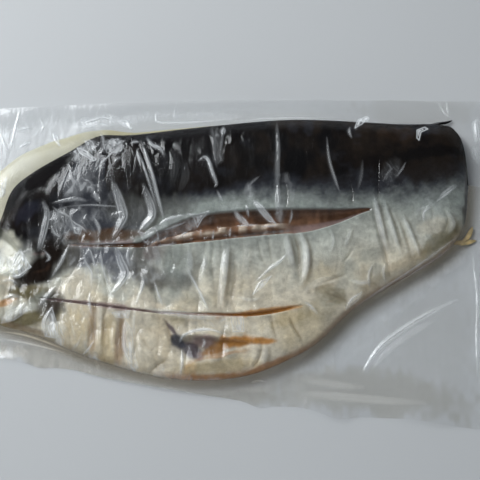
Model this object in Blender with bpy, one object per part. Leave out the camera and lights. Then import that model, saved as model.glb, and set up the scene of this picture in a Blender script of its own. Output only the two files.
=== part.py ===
"""Dried pangasius in a clear vacuum pouch.

The fish is one headless, tailless, split carcass lying on its side: the dark back along +Y, the pale
belly along -Y, the head end at -X and the cut tail end at +X.  A thin edge of pale flesh shows outside
the dark skin, from the head end along the back.  The pouch is a wide flat margin of clear film round
them, with a floor of film under them.  The film that clings to the top of the fish is too thin for a
solid, so there the fish's own surface is the outside of the pack.

Lengths are in metres.  The origin is under the middle of the pack, on the surface that it lies on.
"""

import math

import bmesh
import bpy
import numpy as np

MM = 0.001

# ---- the pack's driving dimensions ----------------------------------------------------------------
FILM = 0.8 * MM  # the two welded films of the margin, thicker than life so that they hold as a solid
GAP = 0.3 * MM  # clearance between the fish and the film that touches it
FLOOR_TOP = FILM + GAP  # where the underside of the fish lies
RIM_HEIGHT = 7 * MM  # the widest line round the fish, where the films part to wrap it
EDGE_ROUND = 15 * MM  # how far in from its outline the fish takes to reach full thickness
UNDER_ROUND = 8 * MM  # the same under the fish
THICKEST = 27 * MM  # the muscle of the back, in front of the middle

# Thickness across the fish, as shares of THICKEST, from the belly edge (0) to the back edge (1)
ACROSS = [(0.0, 0.50), (0.22, 0.55), (0.45, 0.70), (0.62, 0.86), (0.80, 1.00), (1.0, 0.94)]
# Thickness along the fish, as shares of the above, at x in millimetres
ALONG = [(-184, 0.72), (-120, 0.92), (-50, 1.0), (50, 0.97), (130, 0.86), (181, 0.76)]

# ---- outlines, seen from above, in millimetres ----------------------------------------------------
HEAD_TIP = (-185, -30)
TAIL_TIP = (180.5, 55)
BACK_EDGE = [
    (-179, -4), (-170, 30), (-163, 52), (-148, 66), (-122, 82), (-99, 95), (-72, 96), (-14, 103),
    (50, 108.5), (119, 106), (162, 105), (174, 98.5), (179, 84),
]
BELLY_EDGE = [
    (-180, -44), (-166, -52.5), (-148, -57.5), (-130, -64), (-111, -72.5), (-93, -79), (-57, -89.2),
    (-20, -93.4), (15, -89.3), (43, -78.2), (64, -66), (87, -44), (104, -31.5), (130, -16.4), (149, -5.5),
    (165, 7.5), (176, 25),
]
POUCH_CORNERS = [(-199, -69), (193, -129), (201, 127), (-201, 120)]
# How far each side of the pouch is drawn in (+) or bulges out (-) at its middle: front, right, back, left
SIDE_BOWS = [-6.0, 3.0, -5.0, 2.0]
# The shoulder is cut away behind the head: a notch that opens at the head end, over a sloping floor of flesh
NOTCH = [(-200, 19), (-172, 19), (-164, 14), (-157, 7), (-151, -1), (-157, -10), (-170, -15), (-200, -10)]
NOTCH_FLOOR = [(-200, 2.6), (-182, 3.4), (-148, 12.0)]  # its height above the table at x
# How far the edge of pale flesh reaches out from the fish's outline, at x along the back
PALE_REACH = [
    (-181, 1.0), (-178, 9), (-170, 15), (-163, 19), (-148, 20), (-126, 17), (-110, 12), (-99, 8), (-72, 5),
    (-14, 3.5), (50, 1.5), (75, 0.8),
]
PALE_THICK = 4.5 * MM

# ---- cuts and folds, in millimetres ---------------------------------------------------------------
# Long cuts down to the dark flesh, each as (x, y of its lower lip, y of its upper lip)
FLANK_CUT = [
    (-121, 2.5, 4.5), (-72, 1, 4.5), (-60, 0.5, 8), (-50, 0.5, 14), (-31, 2.5, 24.5), (-13, 4.5, 28.5),
    (10, 8, 29.5), (38, 11.5, 29.5), (56, 12.8, 30), (70, 16.5, 30.6), (83, 21, 31.3), (104, 31.8, 33),
]
BELLY_CUT = [
    (-143, -33.5, -32), (-99, -39.5, -37.5), (-48, -46, -44), (8, -48, -45), (35, -45, -41.5), (58, -38.5, -37.3),
]
VENT = [
    (-46, -66.5, -64.5), (-38, -77, -62.5), (-29, -83.5, -62), (-18, -81, -62.5), (-6, -78, -63.5),
    (6, -74, -65), (29, -69.5, -68),
]
CUT_DEPTHS = {"flank": 9, "belly": 5, "vent": 6}
# A pale strip stands in the widest stretch of the flank cut, as shares of its mouth from the lower lip
STRIP = (0.26, 0.50)
STRIP_DROP = 2.5  # its top lies this far below the skin

# The larger folds that cross the fish, as (x at the front, y at the front, x at the back, y at the back, height)
FOLDS = [
    (-128, -58, -108, 2, 1.6), (-98, -66, -99, -38, 1.4), (-64, -80, -72, -40, 2.0), (-38, -84, -46, -54, 1.2),
    (-104, -34, -74, 4, 1.9), (-46, -44, -58, 0, 1.6), (-12, -44, -34, 2, 1.8), (-6, -40, -4, 8, 2.0),
    (32, -34, 22, 12, 2.0), (56, -30, 42, 14, 2.2), (20, -86, 22, -50, 1.4), (48, -68, 36, -44, 1.4),
    (84, -38, 72, -10, 1.6), (116, -16, 100, 30, 2.2), (132, 0, 116, 26, 1.6), (-80, 8, -92, 60, 2.2),
    (-52, 20, -74, 88, 2.2), (-18, 34, -26, 92, 1.6), (34, 32, 31, 100, 2.2), (88, 42, 76, 94, 1.6),
    (-136, 8, -132, 44, 1.8), (120, 50, 106, 92, 1.2),
]
FOLD_WIDTH = 4.2  # from a fold's crest to its foot
FOLD_RISE = 1.25  # how much the folds stand out


def spline(points, steps=12):
    """A smooth open curve through the points (Catmull-Rom), as an array of x, y."""
    p = np.array(points, float)
    p = np.vstack([2 * p[0] - p[1], p, 2 * p[-1] - p[-2]])
    u = np.linspace(0, 1, steps, endpoint=False)[:, None]
    runs = [
        0.5 * ((2 * b) + (c - a) * u + (2 * a - 5 * b + 4 * c - d) * u**2 + (3 * b - a - 3 * c + d) * u**3)
        for a, b, c, d in zip(p, p[1:], p[2:], p[3:])
    ]
    return np.vstack([*runs, p[-2]])


BACK_CURVE = spline([HEAD_TIP, *BACK_EDGE, TAIL_TIP])
BELLY_CURVE = spline([HEAD_TIP, *BELLY_EDGE, TAIL_TIP])
FISH_LOOP = np.vstack([BELLY_CURVE, BACK_CURVE[-2:0:-1]])  # anticlockwise from the head tip


def distance_to_line(xy, line):
    """Distance from each point to a chain of straight runs, and how far along the chain it is, 0 to 1."""
    best, share = np.full(len(xy), 1e9), np.zeros(len(xy))
    for i, (a, b) in enumerate(zip(line, line[1:])):
        run = b - a
        u = np.clip(((xy - a) @ run) / (run @ run), 0, 1)
        d = np.linalg.norm(xy - a - u[:, None] * run, axis=1)
        nearer = d < best
        best = np.where(nearer, d, best)
        share = np.where(nearer, (i + u) / (len(line) - 1), share)
    return best, share


def quarter_round(u):
    """0 at the outline, rising as a quarter circle to 1 where u reaches 1."""
    return np.sqrt(1 - (1 - np.clip(u, 0, 1)) ** 2)


def folds(xy):
    """Height of the folds at each point, in millimetres: rounded ridges that die away at both ends."""
    height = np.zeros(len(xy))
    for x0, y0, x1, y1, rise in FOLDS:
        d, share = distance_to_line(xy, np.array([(x0, y0), (x1, y1)], float))
        height += FOLD_RISE * rise * np.sin(math.pi * np.clip(share, 0.02, 0.98)) * np.exp(-((d / FOLD_WIDTH) ** 2))
    return height


def lips(xy):
    """The flesh swells a little beside each long cut, in millimetres."""
    height = np.zeros(len(xy))
    for cut, swell in ((FLANK_CUT, 1.6), (BELLY_CUT, 1.0), (VENT, 1.8)):
        rows = np.array(cut, float)
        for column in (1, 2):
            d, share = distance_to_line(xy, rows[:, [0, column]])
            height += 0.6 * swell * np.sin(math.pi * share) * np.exp(-((d / 7.0) ** 2))
    return height


def top_height(xy, t):
    """The fish's upper surface over points given in millimetres; t runs from the belly edge to the back edge."""
    body = THICKEST * np.interp(t, *zip(*ACROSS)) * np.interp(xy[:, 0], *zip(*ALONG))
    relief = (folds(xy) + lips(xy)) * MM
    d, _ = distance_to_line(xy, np.vstack([FISH_LOOP, FISH_LOOP[:1]]))
    return RIM_HEIGHT + (body + relief - RIM_HEIGHT) * quarter_round(d * MM / EDGE_ROUND)


def under_height(xy):
    """The fish's underside: flat on the film, and rounded up to the rim."""
    d, _ = distance_to_line(xy, np.vstack([FISH_LOOP, FISH_LOOP[:1]]))
    return RIM_HEIGHT - (RIM_HEIGHT - FLOOR_TOP) * quarter_round(d * MM / UNDER_ROUND)


def spaced(length, inner, edge_steps):
    """Places from 0 to length: close together at both ends, even between."""
    edge = np.array(edge_steps, float) * min(1.0, length / (3.0 * edge_steps[-1]))
    middle = np.linspace(edge[-1], length - edge[-1], inner)
    return np.concatenate([edge[:-1], middle, length - edge[-2::-1]])


def mesh_object(name, points, faces, material):
    mesh = bpy.data.meshes.new(name)
    mesh.from_pydata([tuple(p) for p in points], [], faces)
    mesh.validate()
    obj = bpy.data.objects.new(name, mesh)
    bpy.context.scene.collection.objects.link(obj)
    bm = bmesh.new()
    bm.from_mesh(mesh)
    bmesh.ops.recalc_face_normals(bm, faces=bm.faces)
    bm.to_mesh(mesh)
    bm.free()
    if material:
        mesh.materials.append(material)
    return obj


def finish(name, colour, roughness, transmission=0.0):
    material = bpy.data.materials.new(name)
    material.use_nodes = True
    shader = material.node_tree.nodes["Principled BSDF"]
    shader.inputs["Base Color"].default_value = (*colour, 1.0)
    shader.inputs["Roughness"].default_value = roughness
    shader.inputs["Transmission Weight"].default_value = transmission
    return material


def sheet_points(stations, shares_of, height):
    """Rows of points over the fish, one row for each station along x, from the belly edge to the back edge."""
    rows = []
    for x in stations:
        low = np.interp(x, BELLY_CURVE[:, 0], BELLY_CURVE[:, 1])
        high = np.interp(x, BACK_CURVE[:, 0], BACK_CURVE[:, 1])
        width = max(high - low, 1e-3)
        t = shares_of(width) / width
        xy = np.column_stack([np.full(len(t), x), low + t * width])
        rows.append(np.column_stack([xy * MM, height(xy, t)]))
    return rows


def fish_body(material):
    """A lens of two sheets, the top and the underside, sewn together along the outline."""
    first, last = HEAD_TIP[0], TAIL_TIP[0]
    stations = first + spaced(last - first, 104, [0, 0.7, 2.2, 4.6, 8.0])
    top = sheet_points(stations, lambda w: spaced(w, 20, [0, 0.6, 2.4, 5.5, 10.0]), top_height)
    under = sheet_points(stations, lambda w: spaced(w, 5, [0, 1.5, 6.0]), lambda xy, t: under_height(xy))
    for rows in (top, under):  # both sheets meet at the rim, on the outline, and in a point at each tip
        for row in rows:
            row[[0, -1], 2] = RIM_HEIGHT
        rows[0][:] = (HEAD_TIP[0] * MM, HEAD_TIP[1] * MM, RIM_HEIGHT)
        rows[-1][:] = (TAIL_TIP[0] * MM, TAIL_TIP[1] * MM, RIM_HEIGHT)
    points, faces = [], []

    def sew(rows):
        count = len(rows[0])
        base = len(points)
        points.extend(p for row in rows for p in row)
        for i in range(len(rows) - 1):
            for j in range(count - 1):
                a = base + i * count + j
                faces.append((a, a + count, a + count + 1, a + 1))

    sew(top)
    sew(under)
    body = mesh_object("dried_fish", points, faces, material)
    merge_close_points(body)
    return body


def merge_close_points(obj):
    bm = bmesh.new()
    bm.from_mesh(obj.data)
    bmesh.ops.remove_doubles(bm, verts=bm.verts, dist=1e-6)
    bmesh.ops.recalc_face_normals(bm, faces=bm.faces)
    bm.to_mesh(obj.data)
    bm.free()


def cut_tool(name, rows, depth, strip=None):
    """A blade with a V section: it spans the two lips well above the fish and narrows to its edge at depth.

    With a strip, the blade's edge is forked where the cut is wide, so that it leaves a low ridge standing.
    """
    rows = np.array(rows, float)
    x = np.linspace(rows[0, 0], rows[-1, 0], 40)
    lower, upper = (np.interp(x, rows[:, 0], rows[:, k]) for k in (1, 2))
    mouth = upper - lower
    low_edge = np.interp(x, BELLY_CURVE[:, 0], BELLY_CURVE[:, 1])
    width = np.interp(x, BACK_CURVE[:, 0], BACK_CURVE[:, 1]) - low_edge
    skin, low_skin, high_skin = (
        top_height(np.column_stack([x, y]), (y - low_edge) / width) / MM
        for y in ((lower + upper) / 2, lower, upper)
    )
    fade = np.clip(np.minimum(np.arange(40), np.arange(40)[::-1]) / 6.0, 0.25, 1.0)
    edge = skin - depth * fade
    clear = 1.5  # the blade's sides run on this far above the skin
    shares = np.array([0.18, strip[0] - 0.02, *strip, strip[1] + 0.02, 0.85] if strip else [0.32, 0.68])
    count = len(shares) + 4
    points, faces = [], []
    for i in range(len(x)):
        floor = [(x[i], lower[i] + k * mouth[i], edge[i]) for k in shares]
        if strip:
            ridge = edge[i] + (skin[i] - STRIP_DROP - edge[i]) * np.clip((mouth[i] - 7) / 6, 0.02, 1)
            floor[2:4] = [(fx, fy, ridge) for fx, fy, _ in floor[2:4]]
        up_over = clear * (1 - shares[-1]) * mouth[i] / (high_skin[i] - edge[i])
        low_over = clear * shares[0] * mouth[i] / (low_skin[i] - edge[i])
        ring = floor + [
            (x[i], upper[i] + up_over, high_skin[i] + clear), (x[i], upper[i] + up_over, high_skin[i] + 20),
            (x[i], lower[i] - low_over, low_skin[i] + 20), (x[i], lower[i] - low_over, low_skin[i] + clear),
        ]
        points.extend(np.array(ring) * MM)
        if i:
            a, b = count * (i - 1), count * i
            faces.extend((a + k, b + k, b + (k + 1) % count, a + (k + 1) % count) for k in range(count))
    faces.append(tuple(range(count - 1, -1, -1)))
    faces.append(tuple(count * (len(x) - 1) + k for k in range(count)))
    return mesh_object(name, points, faces, None)


def notch_tool():
    """A prism of the notch's outline, down to its sloping floor."""
    outline = spline(NOTCH, 6)
    count = len(outline)
    floor = np.interp(outline[:, 0], *zip(*NOTCH_FLOOR))
    points = [(x * MM, y * MM, z * MM) for (x, y), z in zip(outline, floor)]
    points += [(x * MM, y * MM, 0.05) for x, y in outline]
    faces = [(k, (k + 1) % count, count + (k + 1) % count, count + k) for k in range(count)]
    faces += [tuple(range(count)), tuple(range(2 * count - 1, count - 1, -1))]
    return mesh_object("notch_tool", points, faces, None)


def cut(body, tool):
    modifier = body.modifiers.new("cut", "BOOLEAN")
    modifier.operation = "DIFFERENCE"
    modifier.object = tool
    tool.hide_render = True
    tool.display_type = "WIRE"


def apply_modifiers(obj):
    """Bakes the modifiers into the mesh and removes the tools that they used."""
    tools = [m.object for m in obj.modifiers]
    graph = bpy.context.evaluated_depsgraph_get()
    mesh = bpy.data.meshes.new_from_object(obj.evaluated_get(graph))
    obj.modifiers.clear()
    obj.data = mesh
    mesh.name = obj.name
    for tool in tools:
        bpy.data.objects.remove(tool)


def fish(material):
    body = fish_body(material)
    cut(body, notch_tool())
    cut(body, cut_tool("flank_tool", FLANK_CUT, CUT_DEPTHS["flank"], STRIP))
    cut(body, cut_tool("belly_tool", BELLY_CUT, CUT_DEPTHS["belly"]))
    cut(body, cut_tool("vent_tool", VENT, CUT_DEPTHS["vent"]))
    apply_modifiers(body)
    body.data.shade_smooth()
    body.data.set_sharp_from_angle(angle=math.radians(40))
    return body


def pale_edge(material):
    """The crescent of pale flesh that lies against the fish's outline along the shoulder and the back."""
    near = BACK_CURVE[(BACK_CURVE[:, 0] >= PALE_REACH[0][0]) & (BACK_CURVE[:, 0] <= PALE_REACH[-1][0])][::2]
    run = np.gradient(near, axis=0)
    out = np.column_stack([-run[:, 1], run[:, 0]]) / np.linalg.norm(run, axis=1)[:, None]
    reach = np.interp(near[:, 0], *zip(*PALE_REACH))
    section = [(0, 0), (0, 0.85), (0.35, 1.0), (0.75, 0.65), (1.0, 0.15), (1.0, 0)]
    points = []
    for place, normal, far in zip(near, out, reach):
        thick = PALE_THICK * min(1.0, 0.3 + far / 8.0)
        for share, rise in section:
            x, y = place + normal * (GAP / MM + 0.15 + share * far)
            points.append((x * MM, y * MM, FLOOR_TOP + rise * thick))
    count, rows = len(section), len(near)
    faces = [
        (count * i + k, count * (i + 1) + k, count * (i + 1) + (k + 1) % count, count * i + (k + 1) % count)
        for i in range(rows - 1) for k in range(count)
    ]
    faces += [tuple(range(count)), tuple(count * (rows - 1) + k for k in reversed(range(count)))]
    obj = mesh_object("pale_edge", points, faces, material)
    obj.data.shade_smooth()
    obj.data.set_sharp_from_angle(angle=math.radians(50))
    return obj


def pouch_loop(steps=24):
    """The pouch's outer edge, anticlockwise from its front left corner: four gently bowed sides."""
    points = []
    for i, bow in enumerate(SIDE_BOWS):
        a, b = (np.array(POUCH_CORNERS[k % 4], float) for k in (i, i + 1))
        run = b - a
        inward = np.array([-run[1], run[0]]) / np.linalg.norm(run)
        for u in np.linspace(0, 1, steps, endpoint=False):
            points.append(a + u * run + bow * math.sin(math.pi * u) * inward)
    return np.array(points)


def grown(loop, by):
    """A closed anticlockwise loop moved outwards."""
    run = np.roll(loop, -1, axis=0) - np.roll(loop, 1, axis=0)
    normal = np.column_stack([run[:, 1], -run[:, 0]])
    return loop + by * normal / np.linalg.norm(normal, axis=1)[:, None]


def contents_loop():
    """The outline of what the pouch holds: the fish's, moved out over the pale edge, with the films' clearance."""
    first, last = PALE_REACH[0], PALE_REACH[-1]
    beside = [(first[0] - 3, 0), *PALE_REACH, (last[0] + 4, last[1]), (last[0] + 12, 0)]
    reach = np.interp(FISH_LOOP[:, 0], *zip(*beside))
    reach[: len(BELLY_CURVE)] = 0  # the pale edge lies along the back alone
    return grown(FISH_LOOP, (GAP / MM + 0.15 + reach + np.clip(reach, 0, 0.9))[:, None])


def directions(centre, loop):
    """Unit vectors from the centre: closer together where the loop turns, and one to each pouch corner."""
    run = np.roll(loop, -1, axis=0) - loop
    heading = np.arctan2(run[:, 1], run[:, 0])
    turn = np.abs((np.roll(heading, -1) - heading + math.pi) % (2 * math.pi) - math.pi)
    weight = np.cumsum(np.linalg.norm(run, axis=1) / 13.0 + turn / math.radians(14))
    picks = np.searchsorted(weight, np.linspace(0, weight[-1], int(weight[-1]), endpoint=False))
    ends = np.vstack([loop[picks], np.array(POUCH_CORNERS, float)]) - centre
    angles = np.sort(np.arctan2(ends[:, 1], ends[:, 0]))
    angles = angles[np.append(True, np.diff(angles) > 0.004)]
    return np.column_stack([np.cos(angles), np.sin(angles)])


def ray_hit(loop, centre, direction):
    """Where a ray from the centre meets a closed loop."""
    a = loop - centre
    b = np.roll(loop, -1, axis=0) - centre
    edge = b - a
    cross = direction[0] * edge[:, 1] - direction[1] * edge[:, 0]
    cross = np.where(np.abs(cross) < 1e-12, 1e-12, cross)
    far = (a[:, 0] * edge[:, 1] - a[:, 1] * edge[:, 0]) / cross
    along = (a[:, 0] * direction[1] - a[:, 1] * direction[0]) / cross
    return far[(far > 0) & (along >= -1e-9) & (along <= 1 + 1e-9)].max()


SKIRT_HEIGHT = RIM_HEIGHT + 1.5 * MM  # the film leaves the fish's side just above its widest line
SKIRT_RUN = 7.0  # millimetres in which the skirt falls away from the fish
EDGE_LIFT = 4.5  # millimetres by which the loose edge of the margin curls up


def margin_lift(xy, outward, far):
    """How far the flat margin stands off the table, in metres: soft ripples that grow towards its loose edge."""
    ripple = 0.5 + 0.5 * np.sin(xy[:, 0] / 11.0 + 1.7 * np.sin(xy[:, 1] / 23.0)) * np.cos(xy[:, 1] / 17.0 + 0.6)
    return EDGE_LIFT * MM * ripple * np.clip(outward, 0, 1) ** 2 * np.clip(far / 20.0, 0, 1)


def pouch(material):
    """A tray of film: the flat margin, the skirt that climbs the fish's side, and the floor under it."""
    centre = np.array([0.0, 5.0])
    inner, outer = contents_loop(), pouch_loop()
    steps = np.array([0.0, 0.08, 0.18, 0.34, 0.55, 0.78, 1.0])
    upper, lower = [], []
    rays = directions(centre, inner)
    for direction in rays:
        start, reach = ray_hit(inner, centre, direction), ray_hit(outer, centre, direction)
        xy = centre + direction * (start + steps * (reach - start))[:, None]
        far = steps * (reach - start)
        lift = margin_lift(xy, steps, far)
        skirt = (SKIRT_HEIGHT - FILM) * np.exp(-((far / SKIRT_RUN) ** 1.4))
        upper.append(np.column_stack([xy * MM, FILM + lift + skirt]))
        lower.append(np.column_stack([xy * MM, lift]))
    count, rings = len(rays), len(steps)
    points = [p for ray in upper for p in ray] + [p for ray in lower for p in ray]
    floor_at = len(points)
    points += [(ray[0][0], ray[0][1], FILM) for ray in upper]  # the inner wall's foot, round the film floor
    under = count * rings
    faces = []
    for i in range(count):
        k = (i + 1) % count
        for j in range(rings - 1):
            a, b = i * rings + j, k * rings + j
            faces.append((a, a + 1, b + 1, b))
            faces.append((under + b, under + b + 1, under + a + 1, under + a))
        last = rings - 1
        faces.append((i * rings + last, under + i * rings + last, under + k * rings + last, k * rings + last))
        faces.append((i * rings, k * rings, floor_at + k, floor_at + i))
    faces.append(tuple(floor_at + i for i in range(count)))
    faces.append(tuple(under + i * rings for i in reversed(range(count))))
    obj = mesh_object("vacuum_pouch", points, faces, material)
    obj.data.shade_smooth()
    obj.data.set_sharp_from_angle(angle=math.radians(40))
    return obj


def clear_scene():
    for obj in list(bpy.data.objects):
        bpy.data.objects.remove(obj)


def main():
    clear_scene()
    fish(finish("fish_skin", (0.24, 0.22, 0.19), 0.5))
    pale_edge(finish("pale_flesh", (0.62, 0.60, 0.50), 0.45))
    pouch(finish("clear_film", (0.86, 0.87, 0.86), 0.15, transmission=0.8))


main()
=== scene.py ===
"""The looks of a dried pangasius in a clear vacuum pouch: skin, cut flesh, pale edge and creased film.

Lengths in the tables are millimetres, in the frame's own axes: +X to the tail end, +Y to the back.
Creases, facets, patches and stains are placed by where they show in the photograph, as u,v in its
480 x 480 frame, and are dropped from there onto the fish.
"""
import math

import bpy
import numpy as np
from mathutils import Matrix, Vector
from mathutils.kdtree import KDTree


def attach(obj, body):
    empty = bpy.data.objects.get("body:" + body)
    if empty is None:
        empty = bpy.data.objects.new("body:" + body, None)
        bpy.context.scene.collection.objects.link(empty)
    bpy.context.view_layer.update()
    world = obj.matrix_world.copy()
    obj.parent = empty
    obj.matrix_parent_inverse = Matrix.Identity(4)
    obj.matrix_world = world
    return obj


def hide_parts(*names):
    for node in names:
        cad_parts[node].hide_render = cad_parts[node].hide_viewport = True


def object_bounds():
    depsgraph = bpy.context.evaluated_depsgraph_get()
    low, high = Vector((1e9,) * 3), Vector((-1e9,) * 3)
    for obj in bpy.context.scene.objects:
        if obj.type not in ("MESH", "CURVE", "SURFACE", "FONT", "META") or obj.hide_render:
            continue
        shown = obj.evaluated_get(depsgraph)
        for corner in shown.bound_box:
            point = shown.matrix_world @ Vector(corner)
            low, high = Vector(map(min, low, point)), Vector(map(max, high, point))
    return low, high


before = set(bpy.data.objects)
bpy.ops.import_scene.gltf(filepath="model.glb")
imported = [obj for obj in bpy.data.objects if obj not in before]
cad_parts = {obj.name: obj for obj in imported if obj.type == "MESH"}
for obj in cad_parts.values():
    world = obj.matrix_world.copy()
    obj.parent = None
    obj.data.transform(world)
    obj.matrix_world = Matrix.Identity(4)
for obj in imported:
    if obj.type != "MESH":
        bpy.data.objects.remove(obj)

cad_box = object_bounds()
MM = 0.001
WELD = 0.00002  # points this close become one

# ---- the camera, as the photograph was taken ------------------------------------------------------
VIEW_HEIGHT = math.radians(72)  # above the table, looking along +Y
VIEW_DISTANCE = 1000.0
LOOK_AT = np.array([8.3, 15.3, 0.0])
LENS, SENSOR = 100.0, 36.0
FRAME_SIZE = 480

# ---- the fish, as in the solids -------------------------------------------------------------------
RIM_HEIGHT = 7.0  # of its outline over the table
EDGE_ROUND = 15.0  # how far in from the outline the upper surface rounds over
THICKEST = 27.0
# Shares of that: from the belly at 0 to the back at 1, and along x
ACROSS = [(0.0, 0.50), (0.22, 0.55), (0.45, 0.70), (0.62, 0.86), (0.80, 1.00), (1.0, 0.94)]
ALONG = [(-184, 0.72), (-120, 0.92), (-50, 1.0), (50, 0.97), (130, 0.86), (181, 0.76)]
HEAD_TIP, TAIL_TIP = (-185, -30), (180.5, 55)
BACK_EDGE = [
    (-179, -4), (-170, 30), (-163, 52), (-148, 66), (-122, 82), (-99, 95), (-72, 96), (-14, 103),
    (50, 108.5), (119, 106), (162, 105), (174, 98.5), (179, 84),
]
BELLY_EDGE = [
    (-180, -44), (-166, -52.5), (-148, -57.5), (-130, -64), (-111, -72.5), (-93, -79), (-57, -89.2),
    (-20, -93.4), (15, -89.3), (43, -78.2), (64, -66), (87, -44), (104, -31.5), (130, -16.4), (149, -5.5),
    (165, 7.5), (176, 25),
]
# The cut face at the head end: its outline, and the height of its floor along x
NOTCH = [(-200, 19), (-172, 19), (-164, 14), (-157, 7), (-151, -1), (-157, -10), (-170, -15), (-200, -10)]
NOTCH_FLOOR = [(-200, 2.6), (-182, 3.4), (-148, 12.0)]
PALE_REACH = [  # x, how far the pale flesh stands out beside the fish
    (-184, 0), (-181, 1.0), (-178, 9), (-170, 15), (-163, 19), (-148, 20), (-126, 17), (-110, 12), (-99, 8),
    (-72, 5), (-14, 3.5), (50, 1.5), (75, 0.8), (80, 0),
]
PALE_THICK = 4.5
UNDERSIDE = 1.1  # over the table
TUCKS = [(0.5, 0.74), (2.0, 0.62), (3.0, 0.5), (3.0, 0.5)]  # under the outline: how far in, share of height left
SKIN_DROP = 0.8  # the skin under the solid's surface
# The cuts: x, and y of the lower and the upper lip
FLANK_CUT = [
    (-121, 5.3, 7), (-72, 3.2, 6.5), (-60, 3.6, 10), (-50, 4, 16), (-31, 6.2, 25), (-13, 8, 29),
    (10, 10.7, 31.4), (38, 13.6, 33), (56, 15.2, 33.5), (70, 18.9, 33.8), (83, 23.7, 34.1), (98, 30.4, 35),
    (106, 33.4, 35.2),
]
BELLY_CUT = [
    (-143, -33.5, -32), (-99, -39.5, -37.5), (-48, -46, -44), (8, -48, -45), (35, -45, -41.5), (58, -38.5, -37.3),
]
VENT = [
    (-46, -66.5, -64.5), (-38, -77, -62.5), (-29, -83.5, -62), (-18, -81, -62.5), (-6, -78, -63.5),
    (6, -74, -65), (29, -69.5, -68),
]
FLANK_DEPTH, BELLY_DEPTH, VENT_DEPTH = 8.0, 2.2, 5.0
STRIP = (0.26, 0.50)  # the pale strip in the flank cut, as shares of its mouth
STRIP_DROP = 2.5  # below the lips
# Where the black of the back turns to silver
DARK_EDGE = [
    (-190, -20), (-165, -6), (-150, 0), (-136, 4), (-124, 6), (-104, 9), (-80, 13), (-66, 17), (-54, 28),
    (-43, 36), (-21, 40), (8, 43.5), (52, 44), (80, 45), (100, 46), (120, 46), (141, 48), (156, 51), (173, 55),
    (190, 60),
]
DARK_BLEND = [(-190, 16), (-60, 14), (-40, 8), (0, 10), (30, 20), (100, 18), (125, 24), (190, 22)]  # over this

# ---- the pouch ------------------------------------------------------------------------------------
POUCH_CORNERS = [(-199, -69), (193, -129), (201, 127), (-201, 120)]
SIDE_BOWS = [-6.0, 3.0, -5.0, 2.0]  # inward, of the front, tail, back and head sides
TABLE_GAP = 0.15  # the lower film over the table
SKIRT_RUN = 7.0  # how quickly the upper film falls beside the fish
EDGE_LIFT = 4.5  # of the loose margin
CLING = 0.5  # the upper film over the skin
POUCH_RUN = (400, 225)  # along and across it, roughly
FILM_TOP = cad_box[1][2] / MM  # no higher than the solids
FRONT_LOBES = [  # where the front edge waves: x, half width, how far out
    (-138, 7, 1.6), (-112, 14, -1.8), (22, 9, 3.2), (50, 8, -0.8), (78, 13, 4.2), (130, 20, -1.5),
]
FILM_TINT = (0.60, 0.54, 0.43, 1)  # where it dims most
FILM_GLOSS = 1.9
MILK_AND_HIGHLIGHT = (0.84, 0.88, 0.91, 1)  # the milkiness of creased film, and the colour of the painted highlights in it
WARM_SHADE_HAZE = (0.70, 0.62, 0.48, 1)  # of the same milkiness where the film dims most: warms the painted shadow beside the fish
FILM_MIRROR, FILM_ROUGHNESS = (0.95, 0.97, 0.98, 1), 0.2
RIPPLES = {"Scale": 150.0, "Detail": 2.5, "Distortion": 0.8}
RIPPLE_STRENGTH, RIPPLE_DEPTH = 0.3, 0.0014
LEAF_WIDTH = 1.7  # of a crease's foot, against its half width
LEAF_HIGHLIGHT = 0.36  # of the painted highlight, for each millimetre that a crease rises
LIT_SLOPE = 0.36  # of the flank that mirrors the window

# ---- how finely the pieces are divided ------------------------------------------------------------
FILM_PIECES, FILM_COLUMNS, FILM_ROWS = 5, 200, 480
LOWER_COLUMNS, LOWER_ROWS = 120, 76
FISH_COLUMNS, FISH_END = 440, 10
# Rows from the belly to the first lip, from lip to lip and on to the back: even ones, finer ones below and above
FISH_BANDS = [(38, 8, 0), (6, 0, 0), (56, 0, 0), (22, 0, 0), (62, 0, 8)]
PALE_COLUMNS, PALE_ROWS = 260, 20
STRAND_ROWS = 10

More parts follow.
